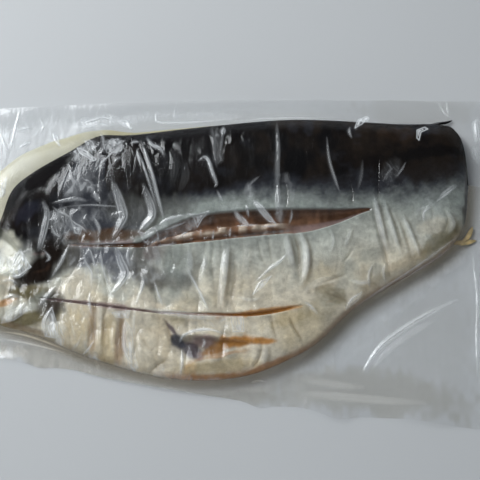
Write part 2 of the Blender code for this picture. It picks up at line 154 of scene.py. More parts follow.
# ---- creases: height, half width, the share that the skin follows, and points u,v in the photograph ----
SHOULDER_CREASES = [
    (2, 3, 0.5, 113,182, 118,193, 123,207, 125,217, 120,227, 113,239),
    (1.9, 2.6, 0.5, 144,185, 149,197, 153,208, 153,217, 146,225, 139,232), (1.1, 1, 0.1, 138,232, 145,234, 152,231),
    (1.6, 1.3, 0.4, 141,140, 147,155, 153,175, 158,195, 162,210, 164,220),
    (1.1, 0.9, 0.2, 137,148, 143,162, 149,180, 154,197, 159,213),
    (-1.4, 1.2, 0.8, 139,146, 145,159, 151,178, 156,196, 160,211),
    (1.6, 1.5, 0.1, 147,138, 153,145, 160,148, 165,155), (0.9, 1.3, 0.2, 137,148, 140,158, 142,167),
    (1.6, 1.3, 0.2, 199,161, 205,157, 209,160, 213,172, 217,183, 215,187), (1.1, 1, 0.1, 217,190, 221,197, 223,202),
    (0.2, 2.6, 0.5, 170,150, 176,168, 172,186), (0.2, 2.4, 0.5, 184,160, 187,176, 180,192),
    (1.8, 2, 0.3, 44,202, 48,213, 46,227, 42,242, 39,250), (1.4, 1.2, 0.1, 53,207, 60,212, 67,215, 73,220),
    (1.4, 1.1, 0.1, 69,217, 75,223, 83,228, 88,233), (1.2, 1.2, 0.1, 51,223, 55,233, 62,238),
    (1.8, 2.2, 0, 74,228, 78,230, 82,232), (1.4, 1.3, 0.2, 92,213, 97,222, 100,230, 98,238),
    (1.4, 1.6, 0.1, 95,190, 97,196, 101,202), (0.9, 0.7, 0, 62,207, 88,205, 107,206, 130,207),
    (1, 1.5, 0, 53,203, 67,200, 78,199, 87,201), (1.2, 0.8, 0, 96,171, 107,158, 117,150),
    (1.7, 1.4, 0.1, 78,150, 87,155, 95,159), (1.3, 1.2, 0.1, 88,143, 91,150, 93,155),
    (1, 1.2, 0.1, 100,131, 104,142, 99,152), (1.2, 1.5, 0.1, 104,146, 116,146, 126,140),
    (1.3, 1.2, 0.1, 130,144, 135,142, 140,142), (0.9, 1.4, 0.2, 115,163, 118,159, 123,157),
    (0.45, 1.2, 0.1, 80,158, 76,172, 76,190), (0.45, 1.4, 0.2, 70,168, 64,182, 58,198),
    (0.4, 1.2, 0.1, 90,160, 84,176, 88,190), (-1, 2, 0.6, 101,160, 98,186, 100,204),
]
BACK_CREASES = [
    (0.6, 1.4, 0.3, 212,127, 215,147, 217,167), (0.6, 1.2, 0.3, 225,125, 222,143, 218,165),
    (1.7, 1.6, 0, 224,127, 224,131, 223,136), (0.8, 1.5, 0.5, 277,123, 278,133, 279,150, 278,175, 279,193, 279,206),
    (1.2, 1.8, 0.4, 278,184, 279,198, 278,216), (-1, 2, 0.7, 284,176, 288,194, 286,213),
    (1.2, 1, 0.3, 327,137, 330,160, 336,180, 340,192), (0.4, 1.2, 0.3, 363,160, 362,176, 358,190),
    (-1, 2, 0.7, 350,180, 353,194, 352,206), (-1.1, 1.6, 0.8, 379,152, 379,178, 378,206),
    (1.2, 1.2, 0, 356,130, 362,122, 370,117), (1.2, 1, 0, 350,127, 350,132, 352,138),
    (0.8, 0.7, 0, 396,177, 402,170, 406,162), (0.6, 0.8, 0, 383,182, 388,173, 395,166),
    (0.5, 0.8, 0, 386,162, 391,168, 389,176), (0.6, 0.9, 0, 248,188, 253,182, 260,176),
]
TAIL_CREASES = [
    (1.9, 1.8, 0.7, 375,197, 380,220, 387,250), (-1.5, 1.4, 0.9, 376,212, 383,240, 391,276),
    (1.2, 1.5, 0.7, 384,200, 392,224, 401,254), (-1.2, 1.4, 0.9, 396,212, 406,236, 413,262),
    (1.2, 1.6, 0.7, 402,214, 412,234, 420,256), (1.4, 1.2, 0.1, 424,222, 425,212, 432,206),
    (-0.9, 1.2, 0.6, 430,224, 433,214, 431,204), (1.1, 1.8, 0.5, 448,212, 454,224, 449,234),
    (1.3, 0.9, 0, 436,202, 447,194, 458,185), (1.1, 0.8, 0, 438,198, 448,190, 456,184),
    (0.8, 1, 0.1, 414,212, 424,208, 436,203), (1.2, 1, 0.4, 373,264, 369,276, 370,288),
    (0.9, 1, 0.4, 386,262, 384,272, 386,284), (0.8, 1.2, 0.4, 330,228, 334,240, 331,252),
    (0.7, 1.4, 0.5, 352,226, 349,238, 345,247), (-1.2, 1.1, 0.9, 388,204, 397,226, 405,250),
    (-1, 0.9, 0.8, 372,200, 377,224, 384,250), (-1, 1, 0.8, 410,222, 418,240, 424,254),
    (-0.9, 1, 0.7, 444,208, 448,220, 444,232), (1.2, 1.5, 0.4, 350,280, 362,283, 373,281),
    (1.7, 1.1, 0, 347,308, 352,300, 361,293),
]
FLANK_CREASES = [
    (1.7, 1.5, 0, 234,209, 240,217, 249,226), (2.3, 1.9, 0, 253,200, 263,210, 277,225),
    (1.8, 1.2, 0, 159,225, 170,219, 186,215), (1.5, 0.9, 0, 160,231, 174,226, 187,221),
    (1, 0.8, 0.1, 292,208, 292,216, 289,224), (1.3, 0.9, 0, 247,204, 248,210, 249,216),
    (1.6, 1, 0, 240,214, 246,220, 250,227), (1.8, 0.9, 0, 267,211, 273,219, 277,226),
    (1.3, 0.9, 0, 260,226, 270,226, 280,225), (1.5, 0.9, 0, 236,226, 247,225, 258,225),
    (1.3, 0.9, 0, 157,245, 166,245, 177,243), (1.5, 1.1, 0, 180,237, 184,234, 188,231),
    (1, 0.8, 0, 201,228, 201,236), (1.1, 0.8, 0, 214,229, 213,240), (1.2, 0.9, 0, 231,227, 230,237),
    (1.3, 1.1, 0, 187,215, 200,217, 210,213), (1.3, 1.1, 0, 194,217, 196,221, 197,226),
    (1.3, 1, 0.1, 155,226, 158,234, 159,242), (1.2, 1, 0.1, 140,234, 146,242, 150,236),
    (1, 1.2, 0.1, 170,238, 184,236, 196,232), (1, 0.6, 0.1, 66,245, 90,244, 112,243, 134,241),
    (1.6, 1.3, 0.2, 70,244, 62,262, 52,277), (1.6, 1.3, 0.3, 84,247, 86,262, 92,272, 92,290),
    (1.4, 1, 0.1, 83,262, 90,250, 96,266, 100,254), (1.5, 1.2, 0.3, 101,250, 103,266, 110,290),
    (2.2, 2.6, 0.2, 116,248, 122,262, 126,276, 111,295), (1.4, 1.2, 0.2, 130,246, 128,258, 132,272),
    (-1, 1.4, 0.6, 106,268, 108,280, 110,290), (1.4, 1.4, 0.3, 142,272, 144,284, 136,306),
    (1.4, 1.2, 0.3, 154,280, 158,292, 163,306), (0.9, 2, 0.4, 152,240, 158,256, 161,272),
    (1.8, 1.2, 0.3, 185,266, 196,284, 203,298, 209,311), (0.9, 1.8, 0.5, 189,246, 191,262, 190,276),
    (1.9, 2.4, 0.7, 228,247, 226,262, 224,282, 220,308), (-1.1, 1.6, 0.8, 234,250, 235,276, 231,306),
    (0.7, 1.8, 0.5, 203,250, 206,262, 203,276), (0.5, 2.6, 0.5, 248,240, 246,262, 249,284),
    (-0.9, 0.9, 0.8, 268,234, 270,250, 272,264), (1.7, 1.3, 0.2, 289,252, 280,262, 270,269, 256,282),
    (1.4, 1.1, 0, 264,278, 259,286, 254,294), (1.6, 2, 0.7, 286,234, 290,250, 294,266),
    (-2, 1.9, 1, 292,230, 299,250, 299,280), (2, 2, 0.8, 300,232, 307,250, 307,268, 302,284),
    (-1, 0.8, 0.9, 318,284, 332,279, 347,274), (0.9, 2.4, 0.7, 306,290, 322,282, 340,280),
    (-0.7, 0.7, 0.9, 343,262, 348,256, 353,249), (-0.9, 1, 0.7, 214,240, 212,262, 215,290),
    (-0.8, 0.8, 0.8, 258,242, 262,258, 268,268), (-1.2, 1.6, 0.8, 325,292, 337,296, 352,304),
    (0.8, 1.4, 0.6, 236,296, 250,300, 262,298),
]
BELLY_CREASES = [
    (-1.1, 0.9, 0.9, 329,287, 341,295, 350,303), (1.4, 1.4, 0.4, 304,302, 311,306, 318,314),
    (-1.4, 1, 1, 289,316, 295,328, 303,341), (-1, 0.8, 1, 271,313, 273,325, 277,341),
    (-1.2, 0.9, 1, 262,341, 261,352, 257,362, 251,368), (0.8, 2, 0.7, 265,346, 266,356, 262,366),
    (1.8, 1.8, 0.1, 53,307, 46,322, 46,336), (1, 1, 0.1, 58,320, 62,332, 66,340),
    (0.9, 1, 0.2, 70,316, 73,328, 76,342), (0.9, 1, 0.1, 84,330, 78,344, 72,350),
    (-2.4, 2, 1, 94,301, 95,324, 93,350), (1.2, 2.6, 1, 101,304, 99,326, 100,352),
    (1.4, 1.1, 0.2, 91,290, 90,302, 92,316), (1.2, 0.9, 0.1, 96,338, 88,350, 82,356),
    (2, 1.5, 0.3, 126,318, 125,336, 127,354, 136,370), (-2.6, 2, 1, 123,314, 122,338, 124,362),
    (1, 2.6, 1, 117,312, 116,338, 117,358), (1, 1.2, 0.3, 136,309, 134,322, 135,336),
    (-0.9, 1.8, 0.8, 138,330, 146,344, 154,352), (2.2, 1.3, 0.1, 180,342, 184,336, 196,331, 210,330, 225,334),
    (1.6, 1.2, 0.2, 182,348, 183,362, 180,378), (-1.3, 1, 0.9, 148,375, 156,366, 168,358),
    (-1.4, 1.4, 0.9, 166,320, 170,334, 178,344), (1.1, 1, 0.1, 203,338, 205,343, 202,348),
    (1.4, 1.8, 0.2, 146,309, 168,313, 200,317, 240,318), (-0.9, 1.6, 0.5, 205,332, 222,334, 240,333),
    (1.3, 1.1, 0.1, 44,250, 50,258, 46,262), (2.2, 1.5, 0, 8,274, 14,262, 20,252, 30,264),
    (1.8, 1.3, 0, 10,276, 20,276, 31,266), (1.4, 1, 0, 14,268, 20,264, 22,256),
    (1.3, 1.3, 0.3, 0,282, 10,280, 18,284), (1.2, 1.4, 0.6, 0,300, 12,296, 24,298),
    (1.8, 2.2, 0.6, 0,320, 14,316, 24,304), (-1, 1.6, 0.8, 26,292, 36,300, 40,312),
    (1.3, 1.6, 0.4, 40,306, 48,296, 56,286), (-1, 1.2, 0.8, 50,300, 58,290, 62,280),
]
MARGIN_CREASES = [
    (2.1, 1, 0, -6,331, 30,337, 76,354), (1.8, 1, 0, -6,337, 34,345, 78,356),
    (1.6, 1.7, 0, 363,372, 372,358, 385,343, 410,325, 436,310, 458,300),
    (0.8, 2.2, 0, 372,370, 388,352, 412,334, 440,318), (1.2, 1, 0, 472,246, 475,270, 478,302, 477,340, 478,382),
    (1.7, 1.5, 0, 476,120, 477,130, 478,142), (1.6, 1.3, 0, 472,146, 476,154, 478,164),
    (1.3, 1, 0, 439,102, 444,111, 450,118), (1.2, 0.9, 0, 447,100, 448,108, 449,117),
    (1.2, 1, 0, 1,132, 6,146, 10,152), (1.1, 1, 0, 22,106, 16,128, 10,152), (0.9, 1, 0, 16,130, 24,129, 32,128),
    (1, 1.2, 0, 53,133, 56,139, 60,146), (1.4, 1.2, 0, 19,148, 25,145, 31,142),
    (0.8, 1.1, 0, 40,118, 44,126, 41,132), (1.6, 1.4, 0, 0,186, 5,192, 2,200),
    (1.2, 1, 0, 246,385, 258,381, 270,382), (1.3, 1, 0, 156,112, 160,122, 196,122, 238,118),
    (1.5, 1.2, 0, 82,124, 92,121, 104,118, 116,122), (1.3, 1, 0, 88,128, 100,124, 110,126),
    (1.7, 1.3, 0, 120,121, 128,122, 132,130), (0.9, 2, 0, 290,376, 330,384, 366,388),
    (1, 2.4, 0, 300,394, 350,398, 430,404), (1, 0.6, 0, 350,311, 376,293, 410,271, 440,250, 458,236),
    (0.8, 0.6, 0, 350,315, 376,298, 410,276, 440,256, 455,243), (1.2, 0.8, 0, 232,122, 262,119, 300,118, 345,120),
    (1.3, 0.8, 0, 345,120, 380,123, 420,124, 446,121),
]
CREASES = (
    SHOULDER_CREASES + BACK_CREASES + TAIL_CREASES + FLANK_CREASES + BELLY_CREASES + MARGIN_CREASES
)

# Facets of film with a painted highlight, white where they mirror the window: how white, and their corners in the
# photograph
FACETS = [
    (0.9, 10,271, 20,252, 31,267, 18,276), (0.6, 52,308, 58,328, 57,338, 45,336, 47,320),
    (0.8, 77,148, 84,150, 96,159, 93,161, 80,153), (0.5, 85,141, 92,142, 96,151, 88,149),
    (0.5, 104,147, 112,139, 124,141, 117,147, 107,153), (0.35, 72,160, 78,152, 84,154, 78,164),
    (0.7, 83,123, 92,119, 97,124, 88,127), (0.75, 117,120, 126,121, 132,128, 124,126),
    (0.45, 99,117, 108,113, 113,117, 104,119), (0.8, 53,133, 57,136, 60,147, 55,141),
    (0.7, 0,199, 3,185, 7,179, 5,192), (0.28, 50,212, 66,207, 69,222, 60,239, 52,232),
    (0.6, 74,227, 82,228, 80,234, 75,233), (0.5, 138,231, 146,234, 155,227, 151,236, 143,238),
    (0.2, 159,226, 187,214, 189,219, 160,231), (0.6, 189,214, 198,215, 209,211, 202,218, 197,226, 194,218),
    (0.8, 355,128, 358,120, 367,116, 369,119, 362,124),
    (0.85, 417,130, 425,127, 428,129, 421,132, 419,140, 417,138), (0.5, 231,317, 243,317, 244,331, 233,332),
    (0.6, 253,294, 258,284, 271,276, 263,286), (0.3, 346,309, 348,300, 362,292, 357,301),
    (0.4, 57,334, 64,340, 62,349, 56,342), (0.4, 126,322, 132,330, 133,350, 138,368, 130,372, 126,350),
    (0.5, 112,313, 130,311, 128,318, 116,317), (0.4, 1,323, 6,312, 25,303, 27,311, 14,320),
    (0.6, 472,122, 477,119, 479,138, 475,141), (0.5, 471,148, 476,146, 478,156, 473,158),
]
# Where the film is crumpled: centre in the photograph, half length, half width, tilt, strength
CRUMPLED = [
    (72,180, 26, 22, -50, 0.12), (68,225, 24, 15, 0, 0.5), (108,138, 28, 13, -14, 0.8), (160,143, 16, 9, 10, 0.5),
    (125,262, 44, 20, 5, 0.7), (130,238, 70, 9, -2, 0.4), (240,214, 66, 14, -3, 0.15), (19,266, 12, 9, -30, 0.8),
    (70,330, 20, 16, 10, 0.8), (24,304, 34, 24, 10, 0.4), (392,170, 17, 15, 0, 0.25), (355,124, 26, 7, 6, 0.2),
    (20,140, 34, 24, -40, 0.1), (475,145, 10, 28, 0, 0.7), (225,132, 22, 10, 0, 0.5), (140,330, 60, 24, 12, 0.35),
]
CRUMPLE_LEAST = 0.06  # everywhere else

# Milkiness of the film, some of it painted glare and painted light over shade: centre in the photograph, half
# length, half width, tilt, strength
MILKY_AND_GLARE_PATCHES = [
    (79,182, 24, 15, -64, 0.2), (66,160, 10, 5, -40, 0.16), (72,222, 22, 16, 0, 0.17), (84,150, 17, 8, -25, 0.24),
    (112,146, 15, 8, -12, 0.26), (106,122, 27, 6, -4, 0.34), (390,170, 13, 9, -50, 0.05), (78,330, 20, 24, 8, 0.1),
    (122,214, 30, 14, 0, 0.05), (217,146, 22, 4, 90, 0.14), (278,160, 40, 2, 88, 0.1), (279,203, 15, 4, 90, 0.16),
    (250,196, 14, 4, 84, 0.12), (290,110, 90, 6, 1, 0.05), (222,324, 22, 7, 0, 0.16), (190,350, 12, 8, 0, 0.06),
    (260,234, 24, 3, -8, 0.09), (285,196, 16, 8, 90, 0.06), (168,232, 34, 8, -20, 0.12), (110,266, 50, 20, 4, 0.12),
    (12,262, 10, 10, -40, 0.24), (198,117, 48, 5, -1, 0.22), (16,128, 36, 12, -34, 0.12),
    (90,369, 110, 9, 13, 0.32), (430,212, 16, 14, 0, 0.07), (418,277, 56, 12, -33, 0.1), (112,372, 30, 8, 14, 0.16),
    (232,207, 14, 5, -10, 0.1), (154,272, 12, 8, 20, 0.12), (420,366, 50, 26, -30, 0.05), (230,386, 60, 7, 3, 0.2),
    (410,296, 90, 7, -36, 0.22), (320,366, 60, 12, -30, 0.15),
]
# Where it clings so close that it hardly mirrors: the same
CLOSE = [
    (24,204, 30, 17, -60, 0.93), (46,173, 42, 12, -36, 1), (30,150, 50, 20, -38, 0.5), (462,150, 20, 30, 0, 0.6),
    (42,266, 30, 16, -42, 1), (150,330, 130, 50, 6, 0.55), (290,300, 110, 60, -10, 0.55),
    (420,240, 60, 34, -20, 0.45),
]
# Where it darkens the table under it, its own tint and painted shade under its lifted edges: the same
DARKENED = [
    (360,392, 120, 24, 4, 0.42), (430,340, 50, 60, 0, 0.12), (80,364, 110, 15, 12, 0.55), (230,392, 70, 12, 5, 0.5),
    (420,110, 60, 14, 0, 0.15),
]
# Scraps beside the fish: their middle lines in the photograph
FIN_REMAINS = [424,123.5, 436,123, 446,122, 453,119.5]
TAIL_SCRAP = [452,241, 464,242, 477,240]
TAIL_SPIKE = [462,242, 469,235, 473,226]


# ---- colours: how each looks on the screen, 0 to 255, worked back to linear red, green and blue ----
def tint(red, green, blue, light=0.62):
    """A surface's colour from how it looks on the screen where so much light falls."""
    screen = np.array([red, green, blue]) / 255
    linear = np.where(screen > 0.04045, ((screen + 0.055) / 1.055) ** 2.4, screen / 12.92)
    return linear / light


TABLE = np.array([0.550, 0.572, 0.586])
BLACK = tint(8, 7, 8)
UMBER = tint(19, 14, 11)
BROWN = tint(30, 24, 19)
SLATE = tint(50, 53, 60)
SMOKE = tint(84, 86, 84)
SILVER = tint(128, 134, 131)
ASH = tint(160, 162, 156)
CREAM = tint(170, 165, 152)
TAN = tint(160, 149, 122)
AMBER = tint(132, 94, 50)
ORANGE = tint(152, 110, 56)
OLIVE = tint(92, 86, 62)
KHAKI = tint(124, 108, 76)
DUSK = tint(66, 64, 58)
MAUVE = tint(124, 108, 106)
PURPLE = tint(66, 56, 64)
NAVY = tint(46, 49, 62)
BARK = tint(74, 54, 36)
FLESH = tint(106, 80, 62)
DARK_FLESH_AND_SHADE = tint(48, 34, 25)
STRIP_PALE = tint(158, 146, 132)
RIM_BROWN = tint(104, 84, 64)
SCRAP = tint(168, 152, 110)
PALE_CREAM = tint(158, 158, 147)
PALE_OLIVE = tint(140, 136, 114)
VALLEY_SHADE = np.array([0.62, 0.55, 0.46])
GRAINS = [(70.0, 4.0, 1.0), (380.0, 3.0, 0.8), (1100.0, 2.0, 0.5)]  # of the mottling: scale, detail, share
GRAIN_DEPTH = 0.0012
SKIN_GLOSS = 0.04

# Stains and other marks, a few of them painted shade: centre in the photograph, half length, half width, tilt,
# colour, strength
STAINS_AND_SHADE = [
    (84,190, 34, 28, -50, SLATE, 0.6), (34,182, 44, 11, -38, BLACK, 0.95), (62,158, 22, 5, -32, BLACK, 0.85),
    # the BLACK mark at 86,160 is a painted shadow under the white crease line beside it
    (26,212, 16, 8, -40, NAVY, 0.3), (84,153, 16, 7, -20, SMOKE, 0.5), (86,160, 11, 1.5, 30, BLACK, 0.8),
    (102,135, 2.5, 7, 0, UMBER, 0.9), (107,168, 2.5, 24, 0, UMBER, 0.8), (116,172, 8, 20, 0, UMBER, 0.6),
    (100,222, 42, 14, -4, SLATE, 0.8), (140,212, 34, 18, 0, SMOKE, 0.6), (176,206, 20, 12, -6, SMOKE, 0.6),
    (104,235, 42, 7, -3, BARK, 0.9), (100,244, 40, 3, -3, MAUVE, 0.8), (92,256, 26, 10, 0, NAVY, 0.85),
    (118,262, 22, 15, 40, NAVY, 0.8), (146,252, 15, 13, 0, DUSK, 0.8), (146,276, 20, 12, 24, DUSK, 0.8),
    (184,266, 20, 14, 10, DUSK, 0.3), (155,252, 14, 8, -20, MAUVE, 0.3), (176,280, 18, 10, 20, SMOKE, 0.6),
    (176,262, 18, 22, 0, SILVER, 0.6), (168,296, 16, 10, 0, SILVER, 0.5), (78,284, 16, 12, 10, CREAM, 0.8),
    (114,292, 16, 8, 10, ASH, 0.8), (66,258, 17, 13, -60, DUSK, 0.9), (52,250, 16, 12, -60, UMBER, 0.95),
    (40,269, 28, 12, -42, UMBER, 1), (34,278, 14, 3, -38, DARK_FLESH_AND_SHADE, 0.9), (38,253, 8, 2, -10, MAUVE, 0.6),
    (30,288, 9, 2, 8, MAUVE, 0.6), (6,241, 17, 12, 34, PALE_CREAM, 1), (12,262, 12, 14, 20, PALE_CREAM, 0.9),
    (8,281, 22, 5, 5, CREAM, 0.9), (4,303, 8, 3, -20, ORANGE, 0.7), (29,293, 17, 9, 0, OLIVE, 0.95),
    (40,302, 16, 9, -10, SILVER, 0.6), (10,314, 20, 7, -24, ASH, 0.8), (32,318, 30, 8, -14, OLIVE, 0.95),
    (54,306, 9, 12, 24, DUSK, 0.9), (36,278, 19, 7, -8, UMBER, 0.95), (20,327, 28, 3.5, 14, BARK, 0.5),
    (469,222, 4, 16, -8, DUSK, 0.7), (12,300, 8, 2, -20, ORANGE, 0.4), (78,326, 18, 24, 8, TAN, 0.7),
    (92,330, 4, 24, 2, AMBER, 0.35), (110,334, 13, 26, 2, TAN, 0.7), (120,344, 6, 22, 2, AMBER, 0.45),
    (150,340, 18, 20, 0, CREAM, 0.6), (176,318, 10, 8, 20, OLIVE, 0.35), (78,302, 26, 2, 6, MAUVE, 0.9),
    (110,306, 28, 3, 8, MAUVE, 0.8), (171,328, 11, 2.2, 50, PURPLE, 0.9), (203,341, 15, 6, -8, MAUVE, 0.9),
    (191,350, 15, 8, 40, PURPLE, 0.95), (179,341, 8, 5, 30, NAVY, 0.9), (214,350, 14, 5, -12, AMBER, 0.9),
    (236,341, 24, 6, -2, ORANGE, 0.95), (262,341, 14, 3, 0, ORANGE, 0.9), (220,355, 26, 3, -12, AMBER, 0.6),
    (190,372, 7, 9, 30, ORANGE, 0.7), (222,366, 44, 8, -4, TAN, 0.8), (214,377, 40, 4, 0, AMBER, 0.7),
    (262,368, 44, 4, -22, AMBER, 0.7), (300,330, 30, 24, -20, TAN, 0.35), (290,318, 20, 8, -8, TAN, 0.5),
    (265,311, 44, 3, -8, ORANGE, 0.85), (320,276, 22, 10, -10, TAN, 0.35), (372,290, 26, 10, 66, KHAKI, 0.25),
    (322,308, 22, 14, -20, OLIVE, 0.35), (440,250, 60, 10, -36, OLIVE, 0.45), (400,268, 50, 8, -34, KHAKI, 0.3),
    # the DUSK and UMBER marks at 468,186 make the tail's right edge darker
    (448,232, 16, 12, -40, OLIVE, 0.5), (432,226, 18, 10, -10, CREAM, 0.5), (468,186, 3.5, 48, 2, DUSK, 0.9),
    (468,186, 2, 44, 2, UMBER, 0.8), (400,134, 22, 9, 3, BARK, 0.12), (430,152, 38, 6, 4, BLACK, 0.8),
    # the OLIVE mark at 337,296 is painted shade in the fold there
    (430,170, 34, 14, -4, BROWN, 0.7), (42,247, 15, 8, 10, UMBER, 0.9), (337,296, 15, 8, 30, OLIVE, 0.5),
    (440,240, 24, 7, -34, OLIVE, 0.5), (50,306, 10, 13, 10, DUSK, 0.7), (54,304, 7, 9, 30, DARK_FLESH_AND_SHADE, 0.5),
]


# ---- shapes ---------------------------------------------------------------------------------------
def spline(points, steps=12):
    """A smooth open curve through the points."""
    p = np.array(points, float)
    p = np.vstack([2 * p[0] - p[1], p, 2 * p[-1] - p[-2]])
    u = np.linspace(0, 1, steps, endpoint=False)[:, None]
    runs = [
        0.5 * ((2 * b) + (c - a) * u + (2 * a - 5 * b + 4 * c - d) * u**2 + (3 * b - a - 3 * c + d) * u**3)
        for a, b, c, d in zip(p, p[1:], p[2:], p[3:])
    ]
    return np.vstack([*runs, p[-2]])


def along(table, x, column=1):
    """A table's column at x, on a smooth curve."""
    curve = spline([(row[0], row[column]) for row in table], 8)
    return np.interp(x, curve[:, 0], curve[:, 1])


def smooth(low, high, value):
    """0 below low, 1 above high, with no corners between."""
    u = np.clip((value - low) / (high - low), 0, 1)
    return u * u * (3 - 2 * u)


def resampled(line, step, closed=False):
    """Points every step millimetres along a line."""
    line = np.vstack([line, line[:1]]) if closed else np.asarray(line, float)
    run = np.concatenate([[0], np.cumsum(np.linalg.norm(np.diff(line, axis=0), axis=1))])
    at = np.arange(0, run[-1], step)
    return np.column_stack([np.interp(at, run, line[:, k]) for k in (0, 1)])


BACK_CURVE = spline([HEAD_TIP, *BACK_EDGE, TAIL_TIP])
BELLY_CURVE = spline([HEAD_TIP, *BELLY_EDGE, TAIL_TIP])
OUTLINE = resampled(np.vstack([BELLY_CURVE, BACK_CURVE[-2:0:-1]]), 0.5, closed=True)
NOTCH_OUTLINE = resampled(spline(NOTCH, 6), 0.6, closed=True)


def leftward(run):
    """The direction to the left of each run of a line."""
    return np.column_stack([-run[:, 1], run[:, 0]]) / np.linalg.norm(run, axis=1)[:, None]


def belly_y(x):
    return np.interp(x, BELLY_CURVE[:, 0], BELLY_CURVE[:, 1])


def back_y(x):
    return np.interp(x, BACK_CURVE[:, 0], BACK_CURVE[:, 1])


def tree_of(points):
    tree = KDTree(len(points))
    for i, (x, y) in enumerate(points):
        tree.insert((x, y, 0.0), i)
    tree.balance()
    return tree


def nearest(tree, x, y):
    """Distance to the nearest of a tree's points, and its index, for each x and y."""
    found = [tree.find((a, b, 0.0)) for a, b in zip(x.tolist(), y.tolist())]
    return np.array([f[2] for f in found]), np.array([f[1] for f in found])


def inside_polygon(x, y, polygon):
    """Whether each place is inside: its row crosses an odd number of edges to one side of it."""
    hit = np.zeros(len(x), bool)
    for (ax, ay), (bx, by) in zip(polygon, np.roll(polygon, -1, axis=0)):
        crosses = (ay > y) != (by > y)
        hit ^= crosses & (x < ax + (y - ay) * (bx - ax) / (by - ay + 1e-12))
    return hit


OUTLINE_TREE = tree_of(OUTLINE)
NOTCH_TREE = tree_of(NOTCH_OUTLINE)


class Spots:
    """Places on the plan, with what the shapes ask about them."""

    def __init__(self, x, y):
        self.x, self.y = x, y
        low, high = belly_y(x), back_y(x)
        self.t = np.clip((y - low) / np.maximum(high - low, 1.0), 0, 1)
        self.on_fish = (x > HEAD_TIP[0]) & (x < TAIL_TIP[0]) & (y > low) & (y < high)
        self.d, self.foot = nearest(OUTLINE_TREE, x, y)
        self.notch = np.zeros(len(x))
        at = np.flatnonzero((x < -140) & (y > -20) & (y < 35))  # where the notch can be
        if len(at):
            d, _ = nearest(NOTCH_TREE, x[at], y[at])
            inside = inside_polygon(x[at], y[at], NOTCH_OUTLINE)
            self.notch[at] = np.where(inside, smooth(0, 3.0, d), 0)


NOISE_CELLS = (97, 89)  # before it repeats


def cell_at(i, j):
    return i % NOISE_CELLS[0], j % NOISE_CELLS[1]


def noise(x, y, seed):
    """Soft random hills between about -1 and 1."""
    table = np.random.default_rng(seed).uniform(-1, 1, NOISE_CELLS)
    xi, yi = np.floor(x).astype(int), np.floor(y).astype(int)
    fx, fy = x - xi, y - yi
    sx, sy = (f**3 * (f * (6 * f - 15) + 10) for f in (fx, fy))
    corner = [[table[cell_at(xi + i, yi + j)] for j in (0, 1)] for i in (0, 1)]
    low = corner[0][0] * (1 - sx) + corner[1][0] * sx
    high = corner[0][1] * (1 - sx) + corner[1][1] * sx
    return low * (1 - sy) + high * sy


def cloudy(x, y, size, seed, layers=3):
    """Noise in layers, each half as large and half as strong."""
    total = sum(noise(x / size * 2**k, y / size * 2**k, seed + k) / 2**k for k in range(layers))
    return total / (2 - 2.0 ** (1 - layers))


def tented(x, y, width, length, seed):
    """Distance to the nearest of scattered points, in cells of that size: film drawn down at each point,
    with sharp ridges where the slopes from two points meet."""
    place = np.random.default_rng(seed).uniform(0.05, 0.95, (*NOISE_CELLS, 2))
    u, v = x / width, y / length
    i, j = np.floor(u).astype(int), np.floor(v).astype(int)
    best = np.full(len(x), 9.0)
    for di in (-1, 0, 1):
        for dj in (-1, 0, 1):
            point = place[cell_at(i + di, j + dj)]
            best = np.minimum(best, np.hypot(u - i - di - point[:, 0], v - j - dj - point[:, 1]))
    return best


# ---- the photograph's rays, dropped onto the fish -------------------------------------------------
BACKWARD = np.array([0.0, -math.cos(VIEW_HEIGHT), math.sin(VIEW_HEIGHT)])
UPWARD = np.array([0.0, math.sin(VIEW_HEIGHT), math.cos(VIEW_HEIGHT)])
CAMERA = LOOK_AT + BACKWARD * VIEW_DISTANCE
FOCAL = LENS / SENSOR * FRAME_SIZE
TO_WINDOW = np.array([-0.95, 0.30])


def body_height(at):
    """The fish's upper surface without its folds and cuts; outside its outline, the height of the rim."""
    full = THICKEST * along(ACROSS, at.t) * along(ALONG, at.x)
    u = np.where(at.on_fish, np.clip(at.d / EDGE_ROUND, 0, 1), 0)
    return RIM_HEIGHT + (full - RIM_HEIGHT) * np.sqrt(1 - (1 - u) ** 2)


def dropped(points):
    """Where points u, v of the photograph lie, as x and y: on the fish, or on the margin beside it."""
    u, v = np.reshape(np.array(points, float), (-1, 2)).T
    ray = np.outer(u - FRAME_SIZE / 2, [1, 0, 0]) + np.outer(FRAME_SIZE / 2 - v, UPWARD) - BACKWARD * FOCAL
    z = np.full(len(u), 12.0)  # a first guess at the height, bettered by each turn
    for _ in range(5):
        place = CAMERA + ray * ((z - CAMERA[2]) / ray[:, 2])[:, None]
        at = Spots(place[:, 0], place[:, 1])
        z = np.where(at.on_fish, body_height(at), 1.5 + 5.5 * np.exp(-at.d / SKIRT_RUN))
    return place[:, :2]


def distance_to_line(x, y, line):
    """Distance to a chain of straight runs, how far along it, 0 to 1, and how much towards the window: 1 on the
    side that faces it and -1 behind."""
    best, share = np.full(len(x), 1e9), np.zeros(len(x))
    aside = np.zeros((2, len(x)))
    for i, (a, b) in enumerate(zip(line, line[1:])):
        run = b - a
        u = np.clip(((x - a[0]) * run[0] + (y - a[1]) * run[1]) / (run @ run), 0, 1)
        off = np.array([x - a[0] - u * run[0], y - a[1] - u * run[1]])
        d = np.hypot(*off)
        nearer = d < best
        best = np.where(nearer, d, best)
        share = np.where(nearer, (i + u) / (len(line) - 1), share)
        aside = np.where(nearer, off, aside)
    return best, share, (aside.T @ TO_WINDOW) / np.maximum(best, 1e-6)


CREASE_LINES = [(spline(dropped(row[3:]), 5), *row[:3]) for row in CREASES]


